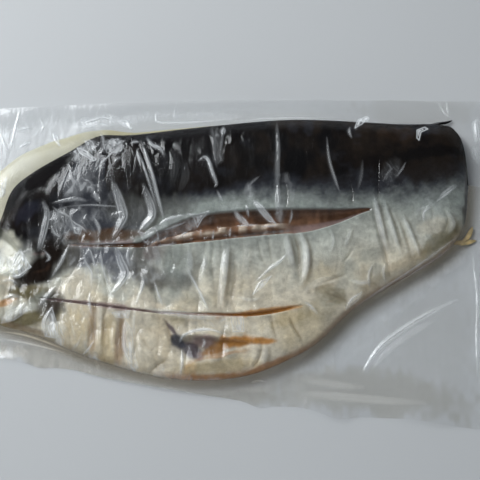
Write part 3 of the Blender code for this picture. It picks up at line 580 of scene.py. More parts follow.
def near_line(at, line, reach):
    """Which places are within reach of a line's box."""
    low, top = line.min(axis=0) - reach, line.max(axis=0) + reach
    return np.flatnonzero((at.x > low[0]) & (at.x < top[0]) & (at.y > low[1]) & (at.y < top[1]))


def crease_marks(at, reach, least_share=0.0):
    """For each crease, the places near it, their distance, share of its length and side, and its own sizes."""
    for line, rise, half, share in CREASE_LINES:
        near = near_line(at, line, reach * half)
        if len(near) and share >= least_share:
            yield near, *distance_to_line(at.x[near], at.y[near], line), rise, half, share


def pointed(share):
    """1 along most of a crease, falling to a point at both ends."""
    return np.sin(math.pi * np.clip(0.03 + 0.94 * share, 0, 1)) ** 0.8


def creases(at, for_skin):
    """Height that the creases add: on the film a ridge as pointed as a leaf at both ends, with flat flanks, the
    broad one towards the window, and on the skin a softer share of it."""
    total = np.zeros(len(at.x))
    broader, least_share = (1.5, 0.01) if for_skin else (LEAF_WIDTH, 0)
    for near, d, s, lit, rise, half, share in crease_marks(at, 3 * broader, least_share):
        width = half * broader
        if for_skin:
            total[near] += rise * share * pointed(s) * np.exp(-((d / width) ** 2))
        else:
            wide = np.maximum(width * pointed(s) * (0.6 + 0.4 * lit), 0.2)
            slope = math.copysign(LIT_SLOPE, rise) * min(1.25, max(0.25, abs(rise) / 1.4)) * (1 - 0.5 * share)
            total[near] += slope * np.maximum(0, wide - d)
    return total


def leaves(at):
    """How much painted highlight each place of the film gets from the creases: white painted along the flank of
    each rising crease, broader towards the window, for the window's reflection in it, and how much a crease there
    has drawn the film flat beside itself."""
    if not hasattr(at, "leafed"):
        white, flat = np.zeros(len(at.x)), np.zeros(len(at.x))
        for near, d, s, lit, rise, half, share in crease_marks(at, 4):
            wide = np.maximum(half * (0.3 + 0.7 * pointed(s)) * (0.95 + 0.45 * lit), 0.3)
            flat[near] = np.maximum(flat[near], np.exp(-((d / (1.8 * half)) ** 2)))
            if rise > 0:
                most = LEAF_HIGHLIGHT * min(rise, 2.2) * (1 - 0.55 * share)
                broad = smooth(1.2, 2.2, half)
                fill = (1 - 0.35 * broad) * np.exp(-((d / wide) ** 2))
                fill = fill + 0.5 * broad * np.exp(-(((d - wide) / 0.6) ** 2))
                white[near] = np.maximum(white[near], most * pointed(s) * fill)
        at.leafed = white, flat
    return at.leafed


FACET_CORNERS = [(dropped(corners), white) for white, *corners in FACETS]


def facets(at):
    """How much painted highlight the film's facets give each place, most along their edges."""
    total = np.zeros(len(at.x))
    for corners, white in FACET_CORNERS:
        near = near_line(at, corners, 1.5)
        if not len(near):
            continue
        x, y = at.x[near], at.y[near]
        d, _, _ = distance_to_line(x, y, np.vstack([corners, corners[:1]]))
        fill = smooth(0, 1.2, d) * inside_polygon(x, y, corners) * (0.65 + 0.6 * noise(x / 1.0 + y / 6, y / 4, 421))
        total[near] = np.maximum(total[near], white * np.maximum(fill, 0.8 * np.exp(-((d / 0.45) ** 2))))
    return total


def crinkled(at):
    """The fine white lines of film that is crumpled small."""
    total = np.zeros(len(at.x))
    for lean, seed in ((60, 431), (118, 435), (95, 439)):
        turn = math.radians(lean)
        ahead = at.x * math.cos(turn) + at.y * math.sin(turn)
        aside = at.y * math.cos(turn) - at.x * math.sin(turn)
        hills = np.abs(noise(aside / 3.2 + 0.7 * cloudy(at.x, at.y, 14, seed + 1), ahead / 13.0, seed))
        shown = smooth(-0.3, 0.4, noise(at.x / 7, at.y / 7, seed + 2))
        total = np.maximum(total, np.exp(-((hills / 0.15) ** 2)) * shown)
    return total


def patch(at, u, v, length, width, tilt, ragged, seed):
    """A soft ragged patch, given as it shows in the photograph: 1 inside, 0 outside."""
    turn = math.radians(tilt)
    middle = np.array([u, v], float)
    ahead = np.array([math.cos(turn), math.sin(turn)]) * length
    aside = np.array([-math.sin(turn), math.cos(turn)]) * width
    middle, end, side = dropped([middle, middle + ahead, middle + aside])
    basis = np.linalg.inv(np.column_stack([end - middle, side - middle]))
    far = np.linalg.norm((np.column_stack([at.x, at.y]) - middle) @ basis.T, axis=1)
    near = np.flatnonzero(far < 3)
    x, y = at.x[near], at.y[near]
    uneven = 1 + ragged * (cloudy(x, y, 14, seed + 100) + 0.8 * noise(x / 4, y / 7, seed + 150))
    inside = np.zeros(len(far))
    inside[near] = 1 - smooth(0.55, 1.25, far[near] * uneven)
    return inside


def strongest(at, patches, ragged, seed, least=0.0):
    """How strong a table's patches are at each place, where they overlap the strongest."""
    total = np.full(len(at.x), least)
    for i, (*place, most) in enumerate(patches):
        total = np.maximum(total, most * patch(at, *place, ragged, seed + i))
    return total


def crumples(at):
    """The small creases between the large ones, sharp, and longer across the fish than along it."""
    strength = strongest(at, CRUMPLED, 0.5, 0, CRUMPLE_LEAST)
    bend = 5.0 * cloudy(at.x, at.y, 26, 11)
    lean = 2.5 * cloudy(at.x, at.y, 40, 15)
    large = tented(at.x + bend, at.y + lean, 12.0, 30.0, 21)
    small = tented(at.x - bend, at.y + bend, 5.0, 11.0, 31)
    return strength * (4.0 * large + 1.3 * small - 1.2) * (1 - 0.8 * leaves(at)[1])


# ---- cuts -----------------------------------------------------------------------------------------
def held_lips(cut, x):
    """The lower and the upper lip of a cut for the rows of skin to follow, carried on past its ends."""
    first, last = cut[0][0], cut[-1][0]
    inner = np.clip(x, first, last)
    for column in (1, 2):
        share = (along(cut, inner, column) - belly_y(inner)) / (back_y(inner) - belly_y(inner))
        yield belly_y(x) + share * (back_y(x) - belly_y(x))


def across_cut(cut, at):
    """How far across a cut's mouth each place lies, from its lower lip at 0 to its upper lip at 1."""
    low, high = along(cut, at.x, 1), along(cut, at.x, 2)
    mouth = np.maximum(high - low, 0.5)
    s = (at.y - low) / mouth
    within = (s > 0) & (s < 1) & (at.x > cut[0][0]) & (at.x < cut[-1][0])
    return np.clip(s, 0, 1), within, mouth


def ends(cut, x, first, last):
    """Fades a cut's depth out towards its two ends, over those lengths."""
    return smooth(cut[0][0], cut[0][0] + first, x) * (1 - smooth(cut[-1][0] - last, cut[-1][0], x))


def flank_depth(at):
    """Depth of the long cut in the flank, and the pale strip that stands in it where it is wide."""
    s, within, mouth = across_cut(FLANK_CUT, at)
    walls = np.sqrt(1 - np.abs(2 * s - 1) ** 3)
    deep = np.minimum(FLANK_DEPTH, 0.5 + 0.8 * mouth) * ends(FLANK_CUT, at.x, 14, 1.5)
    depth = np.where(within, deep * walls, 0)
    strip = smooth(STRIP[0] - 0.06, STRIP[0] + 0.04, s) * (1 - smooth(STRIP[1] - 0.04, STRIP[1] + 0.06, s))
    strip = strip * within * smooth(6, 11, mouth) * (1 - smooth(34, 50, at.x))
    level = STRIP_DROP + 1.3 * noise(at.x / 5.0, at.y / 9.0, 61)
    return depth - strip * np.maximum(depth - level, 0), strip


def belly_depth(at):
    s, within, _ = across_cut(BELLY_CUT, at)
    walls = np.sqrt(1 - np.abs(2 * s - 1) ** 2)
    return np.where(within, BELLY_DEPTH * ends(BELLY_CUT, at.x, 20, 26) * walls, 0)


def vent_depth(at):
    s, within, _ = across_cut(VENT, at)
    bowl = s**0.8 * np.sqrt(1 - s**6)
    return np.where(within, VENT_DEPTH * bowl * ends(VENT, at.x, 16, 34), 0)


def swelling(at):
    """The flesh swells a little beside each cut."""
    total = np.zeros(len(at.x))
    for cut, rise in ((FLANK_CUT, 1.0), (BELLY_CUT, 0.8), (VENT, 1.2)):
        for column in (1, 2):
            line = spline([(row[0], row[column]) for row in cut], 6)
            d, s, _ = distance_to_line(at.x, at.y, line)
            total += rise * np.sin(math.pi * s) * np.exp(-((d / 6.5) ** 2))
    return total


# ---- heights --------------------------------------------------------------------------------------
def wrinkles(at):
    """The dried skin's own relief: pillows with sharp valleys between, mostly across the fish and deepest on
    the belly. Gives its height and how much of a valley each place is."""
    if not hasattr(at, "wrinkled"):
        bend = 6.0 * cloudy(at.x, at.y, 34, 91)
        large = np.abs(noise((at.x + bend) / 12.0, (at.y - bend) / 36.0, 93))
        small = np.abs(noise((at.x - bend) / 6.5, (at.y + bend) / 15.0, 95))
        belly = 1 - smooth(0.25, 0.75, at.t)
        head = 1 - smooth(-80, 60, at.x)
        deep = 0.15 + 0.5 * belly + 0.2 * head * belly
        deep = deep * (1 - 0.7 * smooth(-20, 60, at.x))
        height = deep * (1.6 * large**0.6 + 0.6 * small**0.7 - 1.0)
        valley = np.exp(-large / 0.07) + 0.5 * np.exp(-small / 0.09)
        at.wrinkled = height, np.clip(valley * deep / 2.0, 0, 1)
    return at.wrinkled


def whole_skin(at):
    """The skin as if nothing were cut into it."""
    if not hasattr(at, "whole"):
        relief = creases(at, for_skin=True) + swelling(at) + wrinkles(at)[0]
        at.whole = body_height(at) - SKIN_DROP + relief * smooth(0, 6, at.d)
    return at.whole


def notch_floor(at, rough=0.8):
    return np.interp(at.x, *zip(*NOTCH_FLOOR)) + rough * cloudy(at.x, at.y, 9, 81)


def skin(at):
    """The fish's upper surface with its cuts."""
    z = whole_skin(at) - flank_depth(at)[0] - belly_depth(at) - vent_depth(at)
    return z * (1 - at.notch) + np.minimum(z, notch_floor(at)) * at.notch


def pouch_plan(u, v):
    """The pouch's plan: u from the head end to the tail end, v from the front edge to the back edge."""
    corners = np.array(POUCH_CORNERS, float)

    def side(i, s):
        a, b = corners[i], corners[(i + 1) % 4]
        run = b - a
        inward = np.array([-run[1], run[0]]) / np.linalg.norm(run)
        return a + s[:, None] * run + (SIDE_BOWS[i] * np.sin(math.pi * s))[:, None] * inward

    front, tail, back, head = side(0, u), side(1, v), side(2, 1 - u), side(3, 1 - v)
    u, v = u[:, None], v[:, None]
    near = corners[0] * (1 - u) + corners[1] * u
    far = corners[3] * (1 - u) + corners[2] * u
    place = front * (1 - v) + back * v + head * (1 - u) + tail * u - near * (1 - v) - far * v
    for x, half, out in FRONT_LOBES:
        place[:, 1] -= out * np.exp(-(((place[:, 0] - x) / half) ** 2)) * (1 - v[:, 0]) ** 6
    return place.T


def back_side(at):
    """Whether the nearest place of the outline is on the back or the head, and not on the belly."""
    foot = OUTLINE[at.foot]
    return foot[:, 1] > belly_y(foot[:, 0]) + 2


def edge_distance(u, v):
    """Roughly how far inside the pouch's outer edge a place of its plan is."""
    long, wide = POUCH_RUN
    return np.minimum.reduce([u * long, (1 - u) * long, v * wide, (1 - v) * wide])


def lower_height(at, edge):
    """The lower film: flat on the table, rippling up towards its loose edges."""
    away = np.where(at.on_fish, 0, smooth(6, 34, at.d))
    ripple = 0.5 + 0.5 * np.sin(at.x / 11.0 + 1.7 * np.sin(at.y / 23.0)) * np.cos(at.y / 17.0 + 0.6)
    loose = 1 - smooth(0, 26, edge)
    return TABLE_GAP + EDGE_LIFT * 0.8 * ripple * away * loose**1.5


def pale_hump(reach, share):
    """How thick the pale edge is at a share of its reach, which is full where the reach is."""
    return PALE_THICK * np.minimum(1, 0.3 + reach / 8) * np.sqrt(1 - share**2.2)


def pale_top(at):
    """Height of the pale edge's upper side; 0 where it isn't."""
    reach = np.interp(OUTLINE[at.foot][:, 0], *zip(*PALE_REACH))
    s = np.clip(at.d / np.maximum(reach, 0.1), 0, 1)
    there = back_side(at) & ~at.on_fish & (reach > 0.8)
    return np.where(there & (s < 1), UNDERSIDE + pale_hump(reach, s), 0)


def skirt(at):
    """The film's slope from the fish's rim down to the margin."""
    return (RIM_HEIGHT - SKIN_DROP) * np.exp(-((at.d / SKIRT_RUN) ** 1.4))


def film_height(at, bottom, edge):
    """The upper film: on the skin, bridging the cuts, down a skirt round the fish and out over the margin."""
    sag = 0.35 * flank_depth(at)[0] + 0.3 * belly_depth(at) + 0.3 * vent_depth(at)
    on_fish = whole_skin(at) + CLING - sag
    floor = notch_floor(at, 0) + 2.2
    on_fish += (np.minimum(on_fish, floor) - on_fish) * 0.9 * at.notch
    slack = 0.25 + 0.75 * smooth(0, 22, edge)
    beside = bottom + slack + skirt(at)
    pale = pale_top(at)
    z = np.where(at.on_fish, on_fish, np.maximum(beside, np.where(pale > 0, pale + 0.5, 0)))
    sharp = creases(at, for_skin=False) - creases(at, for_skin=True) * at.on_fish
    loose = np.where(at.on_fish, 1.0, 0.07 + 0.45 * np.exp(-at.d / 8))
    z += (sharp + crumples(at) * loose) * smooth(0, 6, edge)
    lowest = np.where(at.on_fish, skin(at) + 0.3, bottom + 0.1)
    return np.minimum(np.maximum(z, lowest), FILM_TOP)


# ---- building with Blender's own tools ------------------------------------------------------------
def deselect():
    if bpy.context.mode != "OBJECT":
        bpy.ops.object.mode_set(mode="OBJECT")
    bpy.ops.object.select_all(action="DESELECT")


def pick(piece):
    """Selects one piece alone and makes it the active one."""
    deselect()
    piece.select_set(True)
    bpy.context.view_layer.objects.active = piece


def edit(piece):
    """Goes into edit mode on one piece, with everything in it selected and points at one place made one."""
    pick(piece)
    bpy.ops.object.mode_set(mode="EDIT")
    bpy.ops.mesh.select_mode(type="EDGE")
    bpy.ops.mesh.select_all(action="SELECT")
    bpy.ops.mesh.remove_doubles(threshold=WELD)


def select_open_edges():
    """Selects the edges with a face on one side only."""
    bpy.ops.mesh.select_all(action="DESELECT")
    bpy.ops.mesh.select_non_manifold()


def turn_outward():
    """Turns every face of the piece outward and leaves edit mode."""
    bpy.ops.mesh.select_all(action="SELECT")
    bpy.ops.mesh.normals_make_consistent(inside=False)
    bpy.ops.object.mode_set(mode="OBJECT")


def points_of(piece):
    flat = np.empty(3 * len(piece.data.vertices))
    piece.data.vertices.foreach_get("co", flat)
    return flat.reshape(-1, 3)


def new_grid(name, columns, rows):
    """A flat grid, with each point's column and row."""
    deselect()
    bpy.ops.mesh.primitive_grid_add(x_subdivisions=columns, y_subdivisions=rows, size=2)
    piece = bpy.context.object
    piece.name = piece.data.name = name
    share = (points_of(piece)[:, :2] + 1) / 2
    return piece, *np.round(share * (columns, rows)).astype(int).T


def place_points(piece, x, y, z):
    piece.data.vertices.foreach_set("co", (np.column_stack([x, y, z]) * MM).ravel())
    piece.data.update()


def paint(piece, name, colours):
    """A colour at each point, for the material to read."""
    layer = piece.data.attributes.new(name, "FLOAT_COLOR", "POINT")
    rgba = np.column_stack([colours, np.ones(len(colours))])
    layer.data.foreach_set("color", rgba.astype(np.float32).ravel())


def finish(piece, look, slot, *nodes):
    """Gives a piece its material, and says what it rides on and which nodes it replaces."""
    piece.data.materials.clear()
    piece.data.materials.append(look)
    pick(piece)
    bpy.ops.object.shade_smooth()
    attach(piece, "root")
    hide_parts(*nodes)


# ---- materials ------------------------------------------------------------------------------------
def new_look(name):
    look = bpy.data.materials.new(name)
    look.use_nodes = True
    return look, look.node_tree, look.node_tree.nodes["Principled BSDF"]


def add_node(tree, kind, inputs=(), **settings):
    """A node whose inputs are linked to outputs or set to values."""
    node = tree.nodes.new(kind)
    for key, value in settings.items():
        setattr(node, key, value)
    for key, value in inputs:
        if hasattr(value, "is_output"):
            tree.links.new(value, node.inputs[key])
        else:
            node.inputs[key].default_value = value
    return node


def worked_out(tree, operation, first, second, **settings):
    """The result of a Math node."""
    return add_node(tree, "ShaderNodeMath", [(0, first), (1, second)], operation=operation, **settings).outputs[0]


def mixed(tree, factor, first, second):
    """A mix of two shaders, or of two colours where the second is one."""
    if isinstance(second, tuple):
        pair = [(0, factor), (6, first), (7, second)]
        return add_node(tree, "ShaderNodeMix", pair, data_type="RGBA").outputs[2]
    return add_node(tree, "ShaderNodeMixShader", [(0, factor), (1, first), (2, second)]).outputs[0]


def bumps(tree, strength, depth, height):
    """Normals for relief that is too fine for the mesh."""
    wanted = [("Strength", strength), ("Distance", depth), ("Height", height)]
    return add_node(tree, "ShaderNodeBump", wanted).outputs["Normal"]


def mottling_group():
    """Uneven colour and surface, as dried skin and flesh have: broad clouds, a fine grain and dark specks."""
    group = bpy.data.node_groups.new("mottling", "ShaderNodeTree")
    face = group.interface
    face.new_socket("Colour", in_out="INPUT", socket_type="NodeSocketColor")
    face.new_socket("Amount", in_out="INPUT", socket_type="NodeSocketFloat")
    face.new_socket("Mottled Colour", in_out="OUTPUT", socket_type="NodeSocketColor")
    face.new_socket("Height", in_out="OUTPUT", socket_type="NodeSocketFloat")
    given = group.nodes.new("NodeGroupInput")
    given_out = group.nodes.new("NodeGroupOutput")
    place = add_node(group, "ShaderNodeTexCoord").outputs["Object"]
    total = 0.0
    for scale, detail, share in GRAINS:
        grain = add_node(group, "ShaderNodeTexNoise", [("Vector", place), ("Scale", scale), ("Detail", detail)])
        centred = worked_out(group, "SUBTRACT", grain.outputs["Fac"], 0.5)
        total = worked_out(group, "ADD", worked_out(group, "MULTIPLY", centred, share), total)
    factor = worked_out(group, "ADD", worked_out(group, "MULTIPLY", total, given.outputs["Amount"]), 1.0)
    tinted = add_node(
        group, "ShaderNodeVectorMath", [(0, given.outputs["Colour"]), ("Scale", factor)], operation="SCALE"
    )
    group.links.new(tinted.outputs[0], given_out.inputs["Mottled Colour"])
    group.links.new(total, given_out.inputs["Height"])
    return group


def flesh_look(name, group, attribute, roughness, amount, bump):
    """Skin or flesh in its painted colours."""
    look, tree, shader = new_look(name)
    colour = add_node(tree, "ShaderNodeAttribute", attribute_name=attribute).outputs["Color"]
    mottled = add_node(tree, "ShaderNodeGroup", node_tree=group)
    mottled.inputs["Amount"].default_value = amount
    tree.links.new(colour, mottled.inputs["Colour"])
    tree.links.new(mottled.outputs["Mottled Colour"], shader.inputs["Base Color"])
    tree.links.new(bumps(tree, bump, GRAIN_DEPTH, mottled.outputs["Height"]), shader.inputs["Normal"])
    shader.inputs["Roughness"].default_value = roughness
    shader.inputs["Specular IOR Level"].default_value = SKIN_GLOSS
    return look


def film_look():
    """Clear film: see-through, with the gloss of both its faces, fine ripples and a painted milkiness, which also
    carries painted highlights, painted glare and a painted shadow beside the fish.
    """
    look, tree, shader = new_look("clear_film")
    place = add_node(tree, "ShaderNodeTexCoord").outputs["Object"]
    drawn = add_node(tree, "ShaderNodeMapping", [("Vector", place), ("Scale", (1.0, 0.4, 1.0))])
    ripples = add_node(tree, "ShaderNodeTexNoise", [("Vector", drawn.outputs[0]), *RIPPLES.items()])
    relief = bumps(tree, RIPPLE_STRENGTH, RIPPLE_DEPTH, ripples.outputs["Fac"])
    shader.inputs["Base Color"].default_value = FILM_MIRROR
    shader.inputs["Metallic"].default_value = 1.0
    shader.inputs["Roughness"].default_value = FILM_ROUGHNESS
    tree.links.new(relief, shader.inputs["Normal"])
    painted_on = add_node(tree, "ShaderNodeAttribute", attribute_name="film_state")
    state = add_node(tree, "ShaderNodeSeparateColor", [("Color", painted_on.outputs["Color"])])
    haze_and_highlights, shine, dim = (state.outputs[k] for k in ("Red", "Green", "Blue"))
    toned = mixed(tree, dim, (1, 1, 1, 1), FILM_TINT)
    clear = add_node(tree, "ShaderNodeBsdfTransparent", [("Color", toned)]).outputs[0]
    facing = add_node(tree, "ShaderNodeFresnel", [("IOR", 1.5), ("Normal", relief)])
    gloss = worked_out(tree, "MULTIPLY", facing.outputs[0], shine)
    strong = worked_out(tree, "MULTIPLY", gloss, FILM_GLOSS, use_clamp=True)
    haze_and_glint_bsdf = add_node(tree, "ShaderNodeBsdfDiffuse", [("Color", mixed(tree, dim, MILK_AND_HIGHLIGHT, WARM_SHADE_HAZE))]).outputs[0]
    seen = mixed(tree, strong, mixed(tree, haze_and_highlights, clear, haze_and_glint_bsdf), shader.outputs[0])
    # lamps shine through the film undimmed
    passed = add_node(tree, "ShaderNodeBsdfTransparent").outputs[0]
    shadow = add_node(tree, "ShaderNodeLightPath").outputs["Is Shadow Ray"]
    surface = tree.nodes["Material Output"].inputs["Surface"]
    tree.links.new(mixed(tree, shadow, seen, passed), surface)
    return look


def film_state(at):
    """How much milkiness the film has at each place, painted highlights and glare included, how much it mirrors,
    and how much it dims what is under it, with a painted shadow beside the fish's rim.
    """
    streaks = 0.55 + 0.6 * noise(at.x / 2.2 + at.y / 30, at.y / 16, 401) + 0.4 * noise(at.x / 6, at.y / 5, 403)
    haze_and_highlights = strongest(at, MILKY_AND_GLARE_PATCHES, 0.4, 40)
    behind = back_side(at)
    far_side = np.where(at.on_fish, smooth(0.35, 0.75, at.t), behind)
    shine = np.where(at.on_fish, 0.75, 1.0) * (1 - 0.97 * far_side * np.exp(-((at.d / 14.0) ** 2)))
    shine *= 1 - 0.6 * smooth(0.5, 3, flank_depth(at)[0])
    close = strongest(at, CLOSE, 0.3, 60)
    shine = np.minimum(shine, 1 - close)
    haze_and_highlights *= 1 - smooth(0.6, 0.85, close)
    dim = strongest(at, DARKENED, 0.3, 80, 0.02)
    # painted shadow beside the fish's rim: the film dims the table there, warm, with a little warm milkiness
    rim_shadow = np.where(at.on_fish | behind, 0, np.exp(-((at.d / 8.0) ** 2)))
    dim = np.maximum(dim, rim_shadow)
    fine = 0.35 + 0.35 * streaks + np.where(at.on_fish, 1.4, 0.3) * crinkled(at)
    haze_and_highlights = np.maximum(haze_and_highlights * np.clip(fine, 0.25, 2.0), (0.26 - 0.12 * smooth(-60, 60, at.x)) * rim_shadow)
    # the creases' and facets' painted highlights join the milkiness
    haze_and_highlights = np.maximum.reduce([haze_and_highlights, leaves(at)[0] * (0.85 + 0.15 * streaks), facets(at)])
    return np.column_stack([np.clip(haze_and_highlights, 0, 0.9), shine, np.where(at.on_fish, 0.04, dim)])


# ---- colours --------------------------------------------------------------------------------------
def fold_shade(at):
    """Painted shade in the skin's folds: behind each ridge, on the side away from the window, and down each valley.
    """
    dark = np.zeros(len(at.x))
    for near, d, s, lit, rise, half, share in crease_marks(at, 4, 0.5):
        behind = smooth(0, 0.6, -lit) if rise > 0 else 1.0
        off = d - 1.2 * half if rise > 0 else d
        most = share * min(1, abs(rise) / 1.4)
        dark[near] = np.maximum(dark[near], most * pointed(s) * behind * np.exp(-((off / (0.7 * half)) ** 2)))
    return dark


def painted(base, *layers):
    """A colour at each place, with layers of other colours over it as far as their masks let them show."""
    for colour, mask in layers:
        mask = np.clip(mask, 0, 1)[:, None]
        base = base * (1 - mask) + np.asarray(colour) * mask
    return base


def skin_colours(at):
    """The skin from its black back through silver to its cream belly, with stains, painted shade in its wrinkles
    and folds, and flesh in the cuts.
    """
    x, y = at.x, at.y
    wander = 3.0 * cloudy(x, y, 16, 201) + 2.0 * cloudy(x, y / 3, 6, 205)
    above = y - along(DARK_EDGE, x) + wander
    blend = np.interp(x, *zip(*DARK_BLEND))
    level = above / blend + 0.22 * cloudy(x, y, 7, 225) + 0.1 * cloudy(x, 1.5 * y, 2.2, 229)
    low = y - along(FLANK_CUT, x, 1)
    tan = smooth(-0.1, 0.7, cloudy(x, y, 24, 231)) * (1 - smooth(-42, -14, low))
    base = painted(
        np.tile(BLACK, (len(x), 1)),
        (UMBER, smooth(-0.3, 0.5, cloudy(x, y, 24, 211))),
        (BROWN, smooth(-0.3, 0.7, cloudy(x * 1.4, y, 17, 215)) * smooth(-40, 60, x)),
        (SLATE, 0.35 * smooth(0.1, 0.7, cloudy(x, y, 12, 221))),
        (SLATE, 1 - smooth(-0.1, 1, level)),
        (SILVER, 1 - smooth(-0.6, 0.45, level)),
        (ASH, 1 - smooth(-14, 10, low + wander)),
        (CREAM, 0.9 * (1 - smooth(-46, -10, low + 2 * wander))),
        (TAN, (0.35 - 0.25 * smooth(20, 90, x)) * tan),
        (SILVER, 0.4 * smooth(0.0, 0.7, cloudy(x, y, 18, 241)) * (1 - smooth(-30, 5, low))),
    )
    base = base * (1 + 0.22 * cloudy(x, y * 1.3, 4.5, 245))[:, None]
    for i, (*place, colour, strength) in enumerate(STAINS_AND_SHADE):
        base = painted(base, (colour, strength * patch(at, *place, 0.35, i)))
    # painted shade down the valleys between the skin's wrinkles
    valley = wrinkles(at)[1] * smooth(0.05, 0.45, 1 - at.t)
    base = painted(base, (base * VALLEY_SHADE, 0.8 * valley))
    # painted shade behind the folds' ridges and down their valleys
    base = painted(base, (0.8 * base * VALLEY_SHADE, 0.85 * fold_shade(at)))
    rim = (1 - smooth(0.5, 5.5, at.d)) * (1 - smooth(-30, -5, low))
    base = painted(
        base,
        (RIM_BROWN, 0.8 * rim * smooth(0, 60, x)),
        (KHAKI, 0.5 * rim * (1 - smooth(-80, -40, x))),
        (AMBER, 0.8 * rim * smooth(-60, -30, x) * (1 - smooth(20, 70, x))),
    )
    return np.clip(cut_colours(at, base), 0.003, 1)


def cut_colours(at, base):
    """The skin's colours with the flesh that shows in its cuts, and painted shade deep in the cuts and under the
    flank cut's upper lip.
    """
    x, y = at.x, at.y
    s = across_cut(FLANK_CUT, at)[0]
    depth, strip = flank_depth(at)
    opened = smooth(0.3, 1.6, depth)
    slit = smooth(0.3, 1.4, belly_depth(at))
    browned = smooth(-70, -20, x)
    base = painted(
        base,
        (FLESH * (1 + 0.35 * noise(x / 3, y / 8, 251)[:, None]), opened),
        # painted shade where the flank cut is deepest
        (DARK_FLESH_AND_SHADE, 0.5 * smooth(3.5, 8, depth) * smooth(-0.2, 0.5, noise(x / 12, y / 5, 255))),
        (STRIP_PALE, strip * smooth(-0.7, 0.3, noise(x / 5, y / 6, 261))),
        (MAUVE, 0.8 * opened * smooth(34, 60, x) * (1 - smooth(0.35, 0.5, s))),
        # painted shade under the flank cut's upper lip
        (DARK_FLESH_AND_SHADE, 0.7 * opened * smooth(0.8, 0.95, s)),
        (AMBER, slit * browned),
        (MAUVE, slit * (1 - browned)),
    )
    # painted shade deep in the vent
    return painted(base, (base * 0.7, smooth(0.6, 2.6, vent_depth(at))))


# ---- pieces ---------------------------------------------------------------------------------------
def spread(middle, low=0, high=0, least=0.2):
    """Shares from 0 to 1 in even steps, with so many finer ones at the low and at the high end."""
    finer = least + (1 - least) * (np.arange(max(low, high)) + 0.5) / max(low, high, 1)
    total = np.cumsum(np.concatenate([[0], finer[:low], np.ones(middle), finer[:high][::-1]]))
    return total / total[-1]


def fish(group):
    """The fish: one sheet of skin whose rows follow the lips of its cuts, tucked under all round."""
    shares = spread(FISH_COLUMNS, FISH_END, FISH_END, 0.12)
    stations = HEAD_TIP[0] + shares * (TAIL_TIP[0] - HEAD_TIP[0])
    bands = [i + spread(*rows)[:-1] for i, rows in enumerate(FISH_BANDS)]
    levels = np.concatenate([*bands, [len(bands)]])
    piece, column, row = new_grid("fish", len(stations) - 1, len(levels) - 1)
    guides = np.array([
        belly_y(stations), *held_lips(BELLY_CUT, stations), *held_lips(FLANK_CUT, stations), back_y(stations),
    ])
    band = np.minimum(levels[row].astype(int), len(bands) - 1)
    low, high = guides[band, column], guides[band + 1, column]
    at = Spots(stations[column], low + (levels[row] - band) * (high - low))
    z = skin(at)
    rim = (row == 0) | (row == len(levels) - 1)
    place_points(piece, at.x, at.y, np.where(rim, np.minimum(RIM_HEIGHT - SKIN_DROP, z), z))
    paint(piece, "skin_colour", skin_colours(at))
    tuck_under(piece)
    look = flesh_look("fish_skin", group, "skin_colour", 0.6, 0.65, 0.35)
    finish(piece, look, "fish_skin", "dried_fish")
    strand("fin_remains", look, FIN_REMAINS, 1.2, BLACK)
    strand("tail_scrap", look, TAIL_SCRAP, 2.2, SCRAP)
    strand("tail_spike", look, TAIL_SPIKE, 1.9, SCRAP)


def strand(name, look, points, half, colour):
    """A thin scrap of fin or flesh beside the fish, under the film, tapering to both ends."""
    line = spline(dropped(points), 8)
    height = 0.55 * (1.2 + skirt(Spots(*line.T)))
    side = leftward(np.gradient(line, axis=0))
    piece, column, row = new_grid(name, len(line) - 1, STRAND_ROWS)
    turn = row / STRAND_ROWS * 2 * math.pi
    taper = np.sin(math.pi * column / (len(line) - 1)) ** 0.6
    x, y = (line[column] + side[column] * (half * taper * np.cos(turn))[:, None]).T
    place_points(piece, x, y, height[column] + 0.4 * taper * np.sin(turn))
    paint(piece, "skin_colour", colour * (1 + 0.4 * noise(x / 2, y / 2, 331))[:, None])
    edit(piece)
    turn_outward()
    finish(piece, look, "fish_skin")


def tuck_under(piece):
    """Rolls the outline in underneath and closes it with a flat underside."""
    inward = leftward(np.roll(OUTLINE, -3, axis=0) - np.roll(OUTLINE, 3, axis=0))
    edit(piece)
    for step, share in TUCKS:
        select_open_edges()
        bpy.ops.mesh.extrude_region_move()
        bpy.ops.object.mode_set(mode="OBJECT")
        chosen = np.empty(len(piece.data.vertices), bool)
        piece.data.vertices.foreach_get("select", chosen)
        points = points_of(piece) / MM
        rim = np.flatnonzero(chosen)
        _, index = nearest(OUTLINE_TREE, points[rim, 0], points[rim, 1])
        points[rim, :2] += inward[index] * step
        points[rim, 2] = np.maximum(points[rim, 2] * share, UNDERSIDE)
        place_points(piece, *points.T)
        bpy.ops.object.mode_set(mode="EDIT")
    select_open_edges()
    bpy.ops.mesh.edge_face_add()
    turn_outward()


